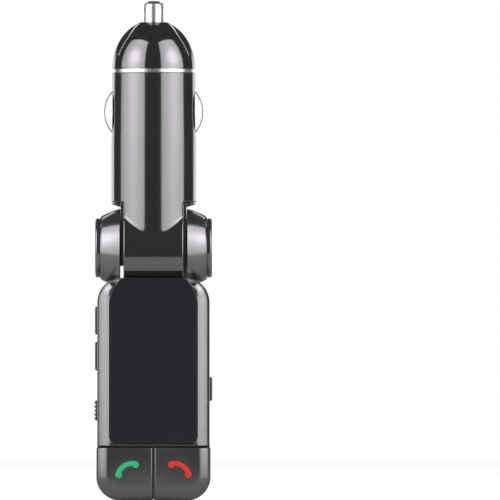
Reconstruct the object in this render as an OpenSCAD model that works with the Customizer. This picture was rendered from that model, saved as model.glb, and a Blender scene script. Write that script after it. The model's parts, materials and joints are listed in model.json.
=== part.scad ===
// Car FM transmitter: a socket plug hinged to a display arm with two call keys.
// The origin is on the plug's axis, at the middle of the plain stretch that the car's socket grips.
// +Z runs up the plug to its tip, +X is to the right and the display faces -Y.
// All lengths are in millimetres. Heights in the modules are measured from the hinge axis.

/* [Plug barrel] */
// Diameter of the barrel where the socket grips it
plug_d = 21; // [20:0.1:22]
// Length of the plain stretch at full diameter
land_len = 15; // [10:0.5:17]
// Height of the barrel's lower end above the hinge axis
barrel_bottom = 10.65; // [10.6:0.05:12]
// Width and height of the chamfer at the barrel's lower end
barrel_chamfer = 0.7; // [0.3:0.1:1]
// Length of the barrel from the top of its slots to the bright ring
barrel_above_slot = 3.75; // [3.5:0.05:6]
// Loss of radius from the plain stretch to the bright ring
barrel_draft = 0.2; // [0.18:0.01:0.4]
// Wall of the barrel and of the knuckle
barrel_wall = 1.6; // [1.2:0.1:2]
// Solid floor between the barrel's hollow and the knuckle
barrel_floor_top = 14; // [13:0.5:16]
// Height of the bright ring under the nose
ring_h = 1; // [0.6:0.1:2]

/* [Plug nose and tip] */
// Height of the nose as a whole half ellipse
nose_h = 12; // [11:0.5:16]
// Height at which the nose is cut flat for the tip
nose_cut_h = 11.4; // [10:0.1:11.6]
// Wall of the nose
nose_wall = 1.5; // [1:0.1:2]
// Radius of the tip contact
tip_r = 2.55; // [2:0.05:2.6]
// How far the tip contact stands out of the nose
tip_out = 5.2; // [4:0.1:7]
// Height of the tip's rounded end
tip_dome_h = 1.9; // [1:0.1:2.4]
// How far the tip is pressed in by a socket
tip_travel = 3; // [2:0.1:3.5]
// Radius of the flange that keeps the tip in the nose
tip_flange_r = 3.45; // [3.2:0.05:3.6]
// Thickness of that flange
tip_flange_h = 1; // [0.6:0.1:1.4]
// Thickness of the nose's ledge over the flange
nose_ledge = 1.1; // [0.8:0.1:1.6]
// Wall of the tube that guides the tip
guide_wall = 0.9; // [0.6:0.1:1.2]
// Wire diameter of the tip spring
spring_wire = 0.5; // [0.4:0.05:0.6]
// Turns of the tip spring
spring_turns = 5; // [3:1:5]
// Thickness of the seat under the tip spring
seat_h = 0.8; // [0.5:0.1:1.2]
// Length that the spring has left when the tip is fully in
spring_spare = 1.2; // [0.8:0.1:1.5]

/* [Ground contacts] */
// Length of each slot in the barrel
slot_len = 11.6; // [10:0.1:13]
// Gap from the plain stretch up to the slot
slot_up = 1; // [0.6:0.1:1.6]
// Width of each contact strip
contact_w = 4.5; // [3.5:0.1:5]
// Thickness of the strip
contact_t = 0.3; // [0.2:0.05:0.4]
// Radius of the strip's bow
contact_bow_r = 7.7; // [7:0.1:9]
// How far the bow stands out of the barrel
contact_out = 1.65; // [1.2:0.05:2]
// Length of the feet behind the wall
contact_foot = 1.5; // [1:0.1:2]

/* [Hinge] */
// Radius of the knuckle
knuckle_r = 10.85; // [10.6:0.05:11.2]
// Width of the knuckle
knuckle_w = 14.6; // [13.6:0.1:15]
// Wall at each end of the knuckle
knuckle_side = 1.2; // [1:0.1:1.6]
// Gap from the knuckle to each lug of the arm
lug_gap = 0.8; // [0.6:0.05:1.2]
// Width of each lug
lug_w = 4.9; // [4.6:0.1:5.4]
// Radius of a lug at its inner end
lug_r_in = 9.9; // [9.4:0.1:10]
// Radius of a lug at its outer end
lug_r_out = 7.7; // [7.4:0.1:8.4]
// Thickness of the lug's wall that turns on the pivot
lug_wall = 2; // [1.6:0.1:2.2]
// Radius of the hollow pivot
pivot_r = 4.4; // [4:0.1:4.6]
// Radius of the pivot's bore for the lead
pivot_bore_r = 2.9; // [2.4:0.1:3]
// Radius of the pivot's flange
pivot_flange_r = 5.7; // [5.2:0.1:6]
// Running clearance of the pivot in a lug
pivot_fit = 0.05; // [0.02:0.01:0.09]
// Radius of the hollow in a lug's outer side
lug_hollow_r = 6.2; // [6:0.1:6.6]
// Radius of the outer hinge cap
cap_r = 7.2; // [6.9:0.1:7.4]
// Thickness of the outer hinge cap
cap_t = 1.4; // [1:0.1:2]
// Thickness of the stiffening rib beside the knuckle
rib_t = 0.55; // [0.3:0.05:0.55]

/* [Arm] */
// Width of the arm
arm_w = 27.4; // [27:0.1:30]
// Depth of the arm, front to back
arm_d = 21; // [20.6:0.1:21.1]
// Distance from the hinge axis down to the arm's top edge
arm_top_drop = 7.3; // [7:0.1:8]
// Length of the arm from its top edge to its lower end
arm_len = 54; // [52:0.5:60]
// Side wall and back wall
arm_wall = 1.6; // [1.2:0.1:1.6]
// Front wall behind the window
front_wall = 2.5; // [2.2:0.1:2.7]
// Radius of the shoulders, seen from the front
shoulder_r = 6; // [4:0.5:7]
// Radius of the lower corners, seen from the front
foot_r = 5.6; // [4:0.2:6]
// Width of the crowned bevel along the front edges
bevel_w = 3; // [2.4:0.1:3.2]
// Width of the crowned bevel across the lower front edge
bevel_low_w = 3.9; // [3:0.1:4.4]
// Width of the crowned bevel along the arm's top edge
bevel_top_w = 1.2; // [0.8:0.1:1.6]
// Slope at which a bevel leaves the front face
bevel_start = 14; // [8:1:20]
// Slope at which a bevel meets the side
bevel_end = 56; // [48:1:62]
// Radius of the back's long edges
back_r = 4; // [3:0.5:5]
// Clearance of the saddle round the knuckle
saddle_gap = 0.3; // [0.2:0.05:0.4]
// Drop of the arm's back below the hinge axis
back_drop = 11; // [11:0.1:12]

/* [Window and display] */
// Strip of the flat front face on each side of the window
window_side = 0.05; // [0:0.05:1]
// Strip of the arm between the window and the gap over the call keys
window_sill = 0.5; // [0.4:0.1:2]
// Thickness of the window
window_t = 1.2; // [1:0.1:1.3]
// Radius of the window's lower corners
window_r = 1.6; // [1:0.1:2.5]
// Radius of the window's upper corners
window_top_r = 8; // [6:0.5:9]
// Gap round the window
window_gap = 0.08; // [0.05:0.01:0.15]
// Margin from the window's side edge to the display module
display_side = 1.85; // [1.85:0.05:2.5]
// Margin from the window's lower edge up to the display module
display_foot = 3.95; // [3.8:0.05:8]
// Border of the display behind the front wall
display_border = 0.8; // [0.6:0.1:1.5]

/* [Call keys] */
// Height of the call keys
key_len = 12.7; // [11:0.1:13]
// Gap between the keys and the arm above them
key_gap = 0.5; // [0.4:0.05:0.7]
// Slit between the two keys
key_slit = 0.5; // [0.4:0.05:0.8]
// How far the keys stand out of the arm's faces
key_proud = 0.2; // [0.1:0.05:0.3]
// Front wall of a key
key_wall = 1.6; // [1.2:0.1:2]
// Depth of a key, front to back
key_d = 4.2; // [4:0.1:4.3]
// Travel of a call key
key_travel = 0.4; // [0.2:0.05:0.45]
// Radius of a key's stem
key_stem_r = 1.3; // [1:0.1:1.6]
// Radius of the bow in a handset mark
mark_bow_r = 3.9; // [3:0.1:4.2]
// Width of the stroke of a handset mark
mark_stroke = 1.2; // [0.8:0.1:1.4]
// Radius of a handset mark's ends
mark_end_r = 0.85; // [0.7:0.05:1]
// Thickness of a handset mark
mark_t = 0.3; // [0.2:0.05:0.5]

/* [Side controls] */
// Length of the upper left key
side_a_len = 6.8; // [5:0.1:7.2]
// Length of the lower left key
side_b_len = 7; // [5:0.1:7.4]
// Length of the right key
side_c_len = 5.8; // [5:0.1:7]
// Length of the ribbed slider
slider_len = 4.9; // [4:0.1:5.4]
// Width of the side keys, front to back
side_w = 3.6; // [3:0.1:4]
// How far a side key stands out of the arm
side_out = 0.6; // [0.5:0.05:0.9]
// Travel of a side key
side_travel = 0.4; // [0.2:0.05:0.45]
// Travel of the ribbed slider
slider_travel = 2; // [1:0.1:2.2]
// Ribs on the slider
slider_ribs = 5; // [3:1:6]

/* [Electronics and sockets] */
// Thickness of the circuit boards
board_t = 1.2; // [0.8:0.1:1.4]
// Width of the board in the barrel
power_board_w = 11.4; // [10:0.1:11.8]
// Gap from the arm's side wall to the main board
board_side = 1.5; // [1.4:0.1:2.5]
// Width of the USB socket's shell
usb_w = 13.2; // [13:0.1:13.4]
// Height of the USB socket's shell
usb_h = 5.7; // [5.5:0.1:5.9]
// Depth of the USB socket
usb_d = 13; // [12:0.1:13.2]
// Sheet thickness of the USB socket's shell
usb_sheet = 0.3; // [0.2:0.05:0.35]
// Bore radius of the audio jack
jack_bore_r = 1.8; // [1.76:0.01:1.84]
// Outer radius of the audio jack
jack_r = 2.9; // [2.6:0.1:3]
// Depth of the audio jack
jack_d = 12.5; // [12:0.1:13]
// Radius of a case screw's shank
screw_r = 0.9; // [0.7:0.05:1]
// Radius of a case screw's head
screw_head_r = 1.7; // [1.5:0.05:1.8]
// Length of a case screw under its head
screw_len = 12; // [10:0.5:13]

/* [Hidden] */
$fn = 72;

// Overrun of a cut past a face, and the gaps round pieces that rest or slide on each other
cut = 1;
seat_gap = 0.05;
slide_gap = 0.1;
// Straight steps in a rounded corner
arc_steps = 8;

// Places on the plug
barrel_r = plug_d / 2;
ring_r = barrel_r - barrel_draft;
hinge_z = -(barrel_bottom + barrel_chamfer + land_len / 2);
land_low = barrel_bottom + barrel_chamfer;
land_high = land_low + land_len;
barrel_upper_len = slot_up + slot_len + barrel_above_slot;
barrel_top = land_high + barrel_upper_len;
foot_clear = 0.35;
tongue_inset = 0.17;
collar_len = barrel_above_slot - contact_foot + slide_gap - foot_clear;
nose_base = barrel_top + ring_h;
barrel_hollow_r = ring_r - barrel_wall;
collar_r = barrel_hollow_r - seat_gap;
collar_wall = 1.2;
guide_r = tip_flange_r + slide_gap;
nose_top = nose_base + nose_cut_h;
ledge_z = nose_top - nose_ledge;
tip_top = nose_top + tip_out;
seat_top = nose_top - nose_ledge - tip_flange_h - tip_travel - spring_turns * spring_wire - spring_spare;
seat_r = guide_r - slide_gap;
spring_r = tip_flange_r - spring_wire;
spring_low = seat_top + seat_gap + spring_wire / 2;
spring_high = ledge_z - tip_flange_h - 2 * seat_gap - spring_wire / 2;
overall_r = arm_len + barrel_top;

// Ground contacts
slot_mid = land_high + slot_up + slot_len / 2;
slot_w = contact_w + 4 * slide_gap;
bow_x = barrel_r + contact_out - contact_bow_r;
bow_half = slot_len / 2 - slide_gap;
bow_steps = 12;
foot_x = sqrt(pow(barrel_hollow_r, 2) - pow(contact_w / 2, 2)) - slide_gap;

// Hinge
knuckle_in = knuckle_w / 2 - knuckle_side;
lug_in = knuckle_w / 2 + lug_gap;
lug_out = lug_in + lug_w;
passage_w = 10;
passage_d = 12;
rib_half_d = 6;
rib_drop = 3.9;
stop_drop = 8.6;
boss_r = 2.2;
plug_screw_z = 8.4;
plug_screw_len = 13;
plug_head_sink = 0.5;
head_h = 1.2;
washer_x = lug_in + lug_wall + seat_gap;
washer_t = 0.4;
clip_x = washer_x + washer_t + seat_gap;
clip_t = 0.4;
groove_d = 0.5;
groove_r = pivot_r - groove_d;
pivot_lip = 0.2;
pivot_end = clip_x + clip_t + seat_gap + pivot_lip;
ring_w = 0.9;
ring_reach = pivot_r + ring_w;
cap_spigot = 0.5;

// Arm
arm_half = arm_w / 2;
front_y = -arm_d / 2;
back_y = arm_d / 2;
arm_top = -arm_top_drop;
arm_bottom = arm_top - arm_len;
key_top = arm_bottom + key_len;
gap_top = key_top + key_gap;
saddle_r = knuckle_r + saddle_gap;
hollow_top = -(saddle_r + arm_wall);
hollow_front = front_y + front_wall;
window_w = arm_w - 2 * (bevel_w + window_side);
window_low = gap_top + window_sill;
window_high = arm_top - bevel_top_w;
window_turn = 42;
window_back = front_y + window_t;
display_drop = 4.3;
display_high = hollow_top - display_drop;
display_w = window_w - 2 * display_side;
display_len = display_high - window_low - display_foot;
display_front = hollow_front + seat_gap;
deck_front = front_y + key_d + key_travel + slide_gap;
deck_t = 1.1;
board_in = 7.45;
board_front = front_y + board_in;
board_back = board_front + board_t;
board_top_gap = 1.2;
board_high = hollow_top - board_top_gap;
board_end_gap = 3.2;
board_low = arm_bottom + board_end_gap;
main_board_w = arm_w - 2 * (arm_wall + board_side);

// Arm screws and bosses
boss_inset = 1.2;
boss_x = lug_in - boss_inset;
boss_drop = 2.15;
boss_rise = 2.5;
case_boss_r = 2;
boss_high = hollow_top - boss_drop;
boss_low = key_top + boss_rise;
screw_places = [for (x = [-boss_x, boss_x]) for (z = [boss_high, boss_low]) [x, z]];
arm_head_sink = 0.4;
screw_seat_y = back_y - arm_head_sink - head_h;

// Side controls: the upper left key hangs from the hollow's top, the next follows it, and the other two
// stand at a share of the length that is left down to the call keys
side_rim = 0.65;
side_y = -side_w / 2 - side_rim;
side_a_drop = 1.55;
side_ab_gap = 1.8;
side_a_z = hollow_top - side_a_drop - side_a_len / 2;
side_b_z = side_a_z - (side_a_len + side_b_len) / 2 - side_ab_gap;
side_b_low = side_b_z - side_b_len / 2;
side_c_share = 0.6124;
side_c_z = hollow_top - (hollow_top - gap_top) * side_c_share;
slider_share = 0.5357;
slider_z = side_b_low - (side_b_low - gap_top) * slider_share;
side_flange = 0.6;
flange_t = 0.7;
side_in = arm_half - arm_wall - slide_gap;
tact_t = 1.5;
tact_w = 4.4;
side_tact_w = 2.8;
side_tact_d = 2;
side_tact_shift = 0.9;
tact_button = 0.5;
slider_stem = 2;
slider_plate = 0.4;
slider_rib_out = 0.25;

// Sockets in the arm's lower end
socket_gap = 1.1;
usb_x = -(socket_gap + 2 * jack_r) / 2;
jack_x = (socket_gap + usb_w) / 2;
socket_y = board_back + seat_gap + usb_h / 2;
end_lip = 0.3;
usb_tongue_t = 1.84;
usb_tongue_inset = 1;
usb_tongue_back = 1;
usb_tongue_up = 0.6;
jack_step = 0.6;
jack_back = 1;

// Call marks, as places on each key
mark_rise = 8.35;
mark_z = arm_bottom + mark_rise;
mark_share = 0.511;
mark_x = arm_half * mark_share;
mark_tilt = 31;
mark_sweep = 41;

// Leads, and the way of the arm's lead from the pivot through the lug to the main board
lead_r = 0.5;
channel_r = 0.7;
lead_inset = 2.1;
lead_x = lug_in + lead_inset;
lead_bend_r = 6;
lead_bend_drop = 2.4;
lead_end = 0.6;
pivot_lead_x = (pivot_end + lug_out - cap_spigot) / 2;
arm_lead_way = [
    [-pivot_end - seat_gap, 0, 0], [-pivot_lead_x, 0, 0], [-pivot_lead_x, 0, -lead_bend_r],
    [-lead_x, 0, -lead_bend_r - lead_bend_drop], [-lead_x, 0, hollow_top - lead_end],
    [-lead_x, (board_front + board_back) / 2, board_high + lead_r + seat_gap]];

// Points of an arc from angle a0 to a1
function arc(x, y, r, a0, a1, n) = [for (i = [0:n])
    let (a = a0 + (a1 - a0) * i / n) [x + r * cos(a), y + r * sin(a)]];

// Points of a crowned bevel that starts on a face at [0, 0] and runs w along x while it falls away along y
function bevel_r(w) = w / (sin(bevel_end) - sin(bevel_start));
function bevel(w, n) = [for (i = [0:n]) let (a = bevel_start + (bevel_end - bevel_start) * i / n)
    [bevel_r(w) * (sin(a) - sin(bevel_start)), bevel_r(w) * (cos(bevel_start) - cos(a))]];
function reversed(pts) = [for (i = [len(pts) - 1:-1:0]) pts[i]];

// Outline of the arm seen from the front, shrunk by g on every side
function arm_outline(g) =
    let (h = arm_half - g, top = arm_top - g, low = arm_bottom + g, rt = shoulder_r - g, rb = foot_r - g)
    concat(
        arc(h - rt, top - rt, rt, 0, 90, arc_steps),
        arc(-h + rt, top - rt, rt, 90, 180, arc_steps),
        arc(-h + rb, low + rb, rb, 180, 270, arc_steps),
        arc(h - rb, low + rb, rb, 270, 360, arc_steps));

// Section of the arm seen from above, with bevelled front edges and rounded back edges
function arm_section(g, front) =
    let (h = arm_half - g, back = back_y - g, r = back_r - g, b = bevel(bevel_w, arc_steps))
    concat(
        [for (p = b) [h - bevel_w + p[0], front + p[1]]],
        arc(h - r, back - r, r, 0, 90, arc_steps),
        arc(-h + r, back - r, r, 90, 180, arc_steps),
        reversed([for (p = b) [-h + bevel_w - p[0], front + p[1]]]));

// Section of the arm seen from the side, as [y, z]
function arm_side(g, front) =
    let (back = back_y - g, low = arm_bottom + g, r = back_r - g, b = bevel(bevel_low_w, arc_steps))
    concat(
        [for (p = bevel(bevel_top_w, arc_steps)) [front + p[1], arm_top - g - bevel_top_w + p[0]]],
        [[front + bevel_top_w, arm_top + cut], [back, arm_top + cut]],
        reversed(arc(back - r, low + r, r, 270, 360, arc_steps)),
        reversed([for (p = b) [front + p[1], low + bevel_low_w - p[0]]]));

// Places children, drawn about the hinge axis, in the part's frame
module placed() { translate([0, 0, hinge_z]) children(); }

// A cylinder along X from x0, on the given side
module along_x(x0, length, r, side = 1) {
    translate([side > 0 ? x0 : -x0 - length, 0, 0]) rotate([0, 90, 0]) cylinder(h = length, r = r);
}

// A box from its low and high corners
module box(low, high) { translate(low) cube(high - low); }

// The front half (side -1) or rear half (side 1) of the children
module half(side) {
    intersection() {
        children();
        box([-overall_r, side < 0 ? -overall_r : 0, -overall_r],
            [overall_r, side < 0 ? 0 : overall_r, overall_r]);
    }
}

module plug_outside() {
    translate([0, 0, barrel_bottom])
        cylinder(h = barrel_chamfer, r1 = barrel_r - barrel_chamfer, r2 = barrel_r);
    translate([0, 0, land_low]) cylinder(h = land_len, r = barrel_r);
    translate([0, 0, land_high]) cylinder(h = barrel_upper_len, r1 = barrel_r, r2 = ring_r);
    // The tongue is a little slimmer than the gripped stretch
    intersection() {
        cylinder(h = land_low, r = barrel_r - tongue_inset);
        box([-knuckle_w / 2, -plug_d, 0], [knuckle_w / 2, plug_d, land_low]);
    }
    along_x(-knuckle_w / 2, knuckle_w, knuckle_r);
    box([-knuckle_w / 2 - rib_t, -rib_half_d, -rib_drop], [0, rib_half_d, barrel_bottom + barrel_chamfer / 2]);
    box([0, -rib_half_d, -stop_drop], [knuckle_w / 2 + rib_t, rib_half_d, barrel_bottom + barrel_chamfer / 2]);
}

module plug_hollow() {
    translate([0, 0, barrel_floor_top])
        cylinder(h = barrel_top - barrel_floor_top + cut, r = barrel_hollow_r);
    box([-passage_w / 2, -passage_d / 2, 0], [passage_w / 2, passage_d / 2, barrel_floor_top + cut]);
    along_x(-knuckle_in, 2 * knuckle_in, knuckle_r - barrel_wall);
    along_x(-lug_in - cut, 2 * (lug_in + cut), pivot_r + seat_gap);
    box([-plug_d, -slot_w / 2, slot_mid - slot_len / 2], [plug_d, slot_w / 2, slot_mid + slot_len / 2]);
}

// Ribs that hold the power board, on both sides of it
board_rib_w = 3;
board_rib_t = 1.2;
board_rib_up = 4;
board_rib_down = 2.4;
board_rib_low = barrel_floor_top + board_rib_up;
board_rib_high = barrel_top - collar_len - board_rib_down;
module board_ribs() {
    for (z = [board_rib_low, board_rib_high]) for (s = [-1, 1])
        intersection() {
            box([-board_rib_w / 2, s > 0 ? board_t / 2 + seat_gap : -barrel_hollow_r - seat_gap, z],
                [board_rib_w / 2, s > 0 ? barrel_hollow_r + seat_gap : -board_t / 2 - seat_gap,
                    z + board_rib_t]);
            cylinder(h = barrel_top, r = ring_r - seat_gap);
        }
}

module plug_half(side) {
    placed() half(side) difference() {
        union() {
            difference() {
                plug_outside();
                plug_hollow();
            }
            board_ribs();
            translate([0, 0, plug_screw_z]) rotate([90, 0, 0])
                cylinder(h = 2 * (knuckle_r - barrel_wall), r = boss_r, center = true);
        }
        plug_screw_hole();
    }
}

plug_screw_y = barrel_r - plug_head_sink;
module plug_screw_hole() {
    translate([0, plug_screw_y + cut, plug_screw_z]) rotate([90, 0, 0])
        cylinder(h = head_h + cut + seat_gap, r = screw_head_r + slide_gap);
    translate([0, plug_screw_y, plug_screw_z]) rotate([90, 0, 0])
        cylinder(h = head_h + plug_screw_len + seat_gap, r = screw_r + seat_gap);
}

// A case screw whose head faces +Y, with a cross recess
module case_screw(length) {
    recess_w = 0.5;
    recess_d = 0.6;
    difference() {
        union() {
            rotate([90, 0, 0]) cylinder(h = head_h, r = screw_head_r);
            translate([0, -head_h, 0]) rotate([90, 0, 0]) cylinder(h = length, r = screw_r);
        }
        for (a = [0, 90]) rotate([0, a, 0])
            box([-screw_head_r * 0.7, -recess_d, -recess_w / 2], [screw_head_r * 0.7, cut, recess_w / 2]);
    }
}

module barrel_front() { color("#202022") plug_half(-1); }
module barrel_rear() { color("#202022") plug_half(1); }
module plug_screw() { color("silver") placed() translate([0, plug_screw_y, plug_screw_z])
    case_screw(plug_screw_len); }

// Points of half an ellipse from the base up to height top, about Z
nose_steps = 28;
function ellipse_half(r, h, top) = concat([[0, 0]],
    [for (i = [0:nose_steps])
        let (z = top * sin(90 * i / nose_steps)) [r * sqrt(max(0, 1 - pow(z / h, 2))), z]],
    [[0, top]]);

module nose_cap() {
    color("#18181a") placed() difference() {
        union() {
            translate([0, 0, nose_base]) rotate_extrude() polygon(ellipse_half(ring_r, nose_h, nose_cut_h));
            translate([0, 0, barrel_top - collar_len])
                cylinder(h = collar_len + ring_h + nose_wall, r = collar_r);
        }
        translate([0, 0, barrel_top - collar_len - cut])
            cylinder(h = collar_len + ring_h + nose_wall + cut, r = collar_r - collar_wall);
        translate([0, 0, nose_base + nose_wall - seat_gap]) difference() {
            rotate_extrude() polygon(ellipse_half(collar_r - collar_wall + seat_gap, nose_h - 2 * nose_wall,
                nose_cut_h - nose_wall - nose_ledge));
            cylinder(h = nose_h, r = guide_r + guide_wall);
        }
        translate([0, 0, nose_base - cut]) cylinder(h = ledge_z - nose_base + cut, r = guide_r);
        translate([0, 0, ledge_z - cut]) cylinder(h = nose_ledge + 2 * cut, r = tip_r + slide_gap);
    }
}

module bright_ring() {
    color("silver") placed() translate([0, 0, barrel_top]) difference() {
        cylinder(h = ring_h, r = ring_r);
        translate([0, 0, -cut]) cylinder(h = ring_h + 2 * cut, r = collar_r + seat_gap);
    }
}

dome_steps = 10;
module tip_contact() {
    shank_top = tip_top - tip_dome_h;
    flange_low = ledge_z - tip_flange_h - seat_gap;
    color("silver") placed() rotate_extrude() polygon(concat(
        [[0, flange_low], [tip_flange_r, flange_low], [tip_flange_r, flange_low + tip_flange_h],
            [tip_r, flange_low + tip_flange_h]],
        [for (i = [0:dome_steps])
            let (a = 90 * i / dome_steps) [tip_r * cos(a), shank_top + tip_dome_h * sin(a)]]));
}

// A round wire wound as a helix about Z, with its ends cut square
spring_rings = 12;
spring_sides = 6;
module tip_spring() {
    count = spring_turns * spring_rings;
    rise = (spring_high - spring_low) / count;
    points = [for (i = [0:count]) for (j = [0:spring_sides - 1])
        let (a = 360 * i / spring_rings, b = 360 * j / spring_sides,
            r = spring_r + spring_wire / 2 * cos(b))
        [r * cos(a), r * sin(a), spring_low + rise * i + spring_wire / 2 * sin(b)]];
    sides = [for (i = [0:count - 1]) for (j = [0:spring_sides - 1])
        let (k = (j + 1) % spring_sides, p = i * spring_sides, q = p + spring_sides)
        each [[p + j, q + k, p + k], [p + j, q + j, q + k]]];
    ends = [for (j = [1:spring_sides - 2]) each [[0, j, j + 1],
        [count * spring_sides, count * spring_sides + j + 1, count * spring_sides + j]]];
    color("gray") placed() polyhedron(points, concat(sides, ends));
}

seat_pin_r = 0.8;
module spring_seat() {
    color("goldenrod") placed() {
        translate([0, 0, seat_top - seat_h]) cylinder(h = seat_h, r = seat_r);
        translate([0, 0, barrel_top + seat_gap])
            cylinder(h = seat_top - seat_h - barrel_top, r = seat_pin_r);
    }
}

// A bowed strip whose square ends turn out behind the barrel's wall
module ground_contact(side) {
    inner_r = contact_bow_r - contact_t;
    outer_a = asin(bow_half / contact_bow_r);
    inner_a = asin((bow_half - contact_t) / inner_r);
    foot_half = bow_half + contact_foot;
    profile = concat(
        arc(bow_x, 0, contact_bow_r, -outer_a, outer_a, bow_steps),
        [[foot_x, bow_half], [foot_x, foot_half], [foot_x - contact_t, foot_half],
            [foot_x - contact_t, bow_half - contact_t]],
        reversed(arc(bow_x, 0, inner_r, -inner_a, inner_a, bow_steps)),
        [[foot_x - contact_t, contact_t - bow_half], [foot_x - contact_t, -foot_half], [foot_x, -foot_half],
            [foot_x, -bow_half]]);
    color("silver") placed() translate([0, 0, slot_mid]) mirror([side < 0 ? 1 : 0, 0, 0])
        rotate([90, 0, 0]) linear_extrude(height = contact_w, center = true) polygon(profile);
}
module ground_contact_left() { ground_contact(-1); }
module ground_contact_right() { ground_contact(1); }

// Power board and its parts
power_board_gap = 0.6;
power_board_low = barrel_floor_top + power_board_gap;
module power_board() {
    color("darkgreen") placed()
        box([-power_board_w / 2, -board_t / 2, power_board_low],
            [power_board_w / 2, board_t / 2, barrel_top]);
}

inductor_w = 7;
inductor_h = 4.2;
part_gap = 1.5;
inductor_z = board_rib_low + board_rib_t + inductor_w / 2 + part_gap;
module power_inductor() {
    base_t = 0.9;
    color("dimgray") placed() translate([0, -board_t / 2 - seat_gap, inductor_z]) {
        box([-inductor_w / 2, -base_t, -inductor_w / 2], [inductor_w / 2, 0, inductor_w / 2]);
        box([-inductor_w / 2, -inductor_h, -inductor_w / 2],
            [inductor_w / 2, base_t - inductor_h, inductor_w / 2]);
        rotate([90, 0, 0]) cylinder(h = inductor_h, r = inductor_w * 0.42);
    }
}

capacitor_r = 3;
capacitor_h = 5.4;
module filter_capacitor() {
    rim_t = 0.8;
    color("silver") placed()
        translate([0, -board_t / 2 - seat_gap, inductor_z + inductor_w / 2 + capacitor_r + part_gap]) {
        rotate([90, 0, 0]) cylinder(h = capacitor_h, r = capacitor_r);
        box([-capacitor_r, -rim_t, -capacitor_r], [capacitor_r, 0, capacitor_r]);
    }
}

chip_w = 5;
chip_len = 6;
chip_t = 1.6;
module converter_chip() {
    color("#303030") placed() box([-chip_w / 2, board_t / 2 + seat_gap, inductor_z],
        [chip_w / 2, board_t / 2 + seat_gap + chip_t, inductor_z + chip_len]);
}

fuse_w = 1.6;
fuse_len = 3.2;
fuse_t = 0.7;
module chip_fuse() {
    color("ivory") placed() box([-fuse_w / 2, board_t / 2 + seat_gap, inductor_z + chip_len + part_gap],
        [fuse_w / 2, board_t / 2 + seat_gap + fuse_t, inductor_z + chip_len + part_gap + fuse_len]);
}

// Hinge pieces, drawn on the side given
module pivot_bush(side) {
    flange_t2 = 1;
    flange_x = knuckle_in - seat_gap - flange_t2;
    color("gainsboro") placed() difference() {
        union() {
            along_x(flange_x, flange_t2, pivot_flange_r, side);
            along_x(flange_x, pivot_end - flange_x, pivot_r, side);
        }
        along_x(flange_x - cut, pivot_end - flange_x + 2 * cut, pivot_bore_r, side);
        difference() {
            along_x(clip_x - seat_gap, clip_t + 2 * seat_gap, pivot_r + cut, side);
            along_x(clip_x - cut, clip_t + 2 * cut, groove_r, side);
        }
    }
}
module pivot_bush_left() { pivot_bush(-1); }
module pivot_bush_right() { pivot_bush(1); }

module flat_ring(x0, t, r_out, r_in, side) {
    placed() difference() {
        along_x(x0, t, r_out, side);
        along_x(x0 - cut, t + 2 * cut, r_in, side);
    }
}
module friction_washer(side) { color("dimgray")
    flat_ring(washer_x, washer_t, ring_reach, pivot_r + slide_gap, side); }
module friction_washer_left() { friction_washer(-1); }
module friction_washer_right() { friction_washer(1); }

// A ring with a mouth, sprung into the pivot's groove
module retaining_clip(side) {
    color("silver") difference() {
        flat_ring(clip_x, clip_t, ring_reach - slide_gap, groove_r + seat_gap, side);
        placed() box([-lug_out, 0, -groove_r * 0.8], [lug_out, lug_out, groove_r * 0.8]);
    }
}
module retaining_clip_left() { retaining_clip(-1); }
module retaining_clip_right() { retaining_clip(1); }

module hinge_cap(side) {
    edge = cap_t * 0.35;
    color("#252527") placed() {
        along_x(lug_out - cap_spigot, cap_spigot, lug_hollow_r - seat_gap, side);
        along_x(lug_out, cap_t - edge, cap_r, side);
        mirror([side < 0 ? 1 : 0, 0, 0]) translate([lug_out + cap_t - edge, 0, 0]) rotate([0, 90, 0])
            cylinder(h = edge, r1 = cap_r, r2 = cap_r - edge);
    }
}
module hinge_cap_left() { hinge_cap(-1); }
module hinge_cap_right() { hinge_cap(1); }

// A round lead along a list of points, with a slightly larger ball at each bend
bend_share = 1.04;
module lead(points, r) {
    for (i = [0:len(points) - 2]) let (v = points[i + 1] - points[i], length = norm(v)) {
        translate(points[i]) rotate([0, acos(v[2] / length), atan2(v[1], v[0])])
            cylinder(h = length, r = r);
        if (i > 0) translate(points[i]) sphere(r = r * bend_share);
    }
}

// The plug's lead runs from the power board, past the screw boss, into the left pivot
plug_lead_r = 0.65;
plug_lead_gap = 0.5;
module plug_lead() {
    pass_x = -boss_r - plug_lead_r - plug_lead_gap;
    color("firebrick") placed()
        lead([[pass_x, 0, power_board_low - seat_gap], [pass_x, 0, 0], [-pivot_end + plug_lead_gap, 0, 0]],
            plug_lead_r);
}

// The arm's lead runs from the left pivot through the lug down to the main board
module arm_lead() { color("firebrick") placed() lead(arm_lead_way, lead_r); }

// The arm's solid, shrunk by g on the sides, back and ends, with its front face at the y given
module arm_block(g, front) {
    intersection() {
        rotate([90, 0, 0]) linear_extrude(height = 2 * arm_d, center = true) polygon(arm_outline(g));
        translate([0, 0, arm_bottom - cut]) linear_extrude(height = arm_len + 3 * cut)
            polygon(arm_section(g, front));
        rotate([90, 0, 90]) linear_extrude(height = 2 * arm_w, center = true) polygon(arm_side(g, front));
    }
}

// One lug: a cone about the hinge axis, sunk into the arm's top
module lug(side) {
    mirror([side < 0 ? 1 : 0, 0, 0]) translate([lug_in, 0, 0]) rotate([0, 90, 0])
        cylinder(h = lug_w, r1 = lug_r_in, r2 = lug_r_out);
}

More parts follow.
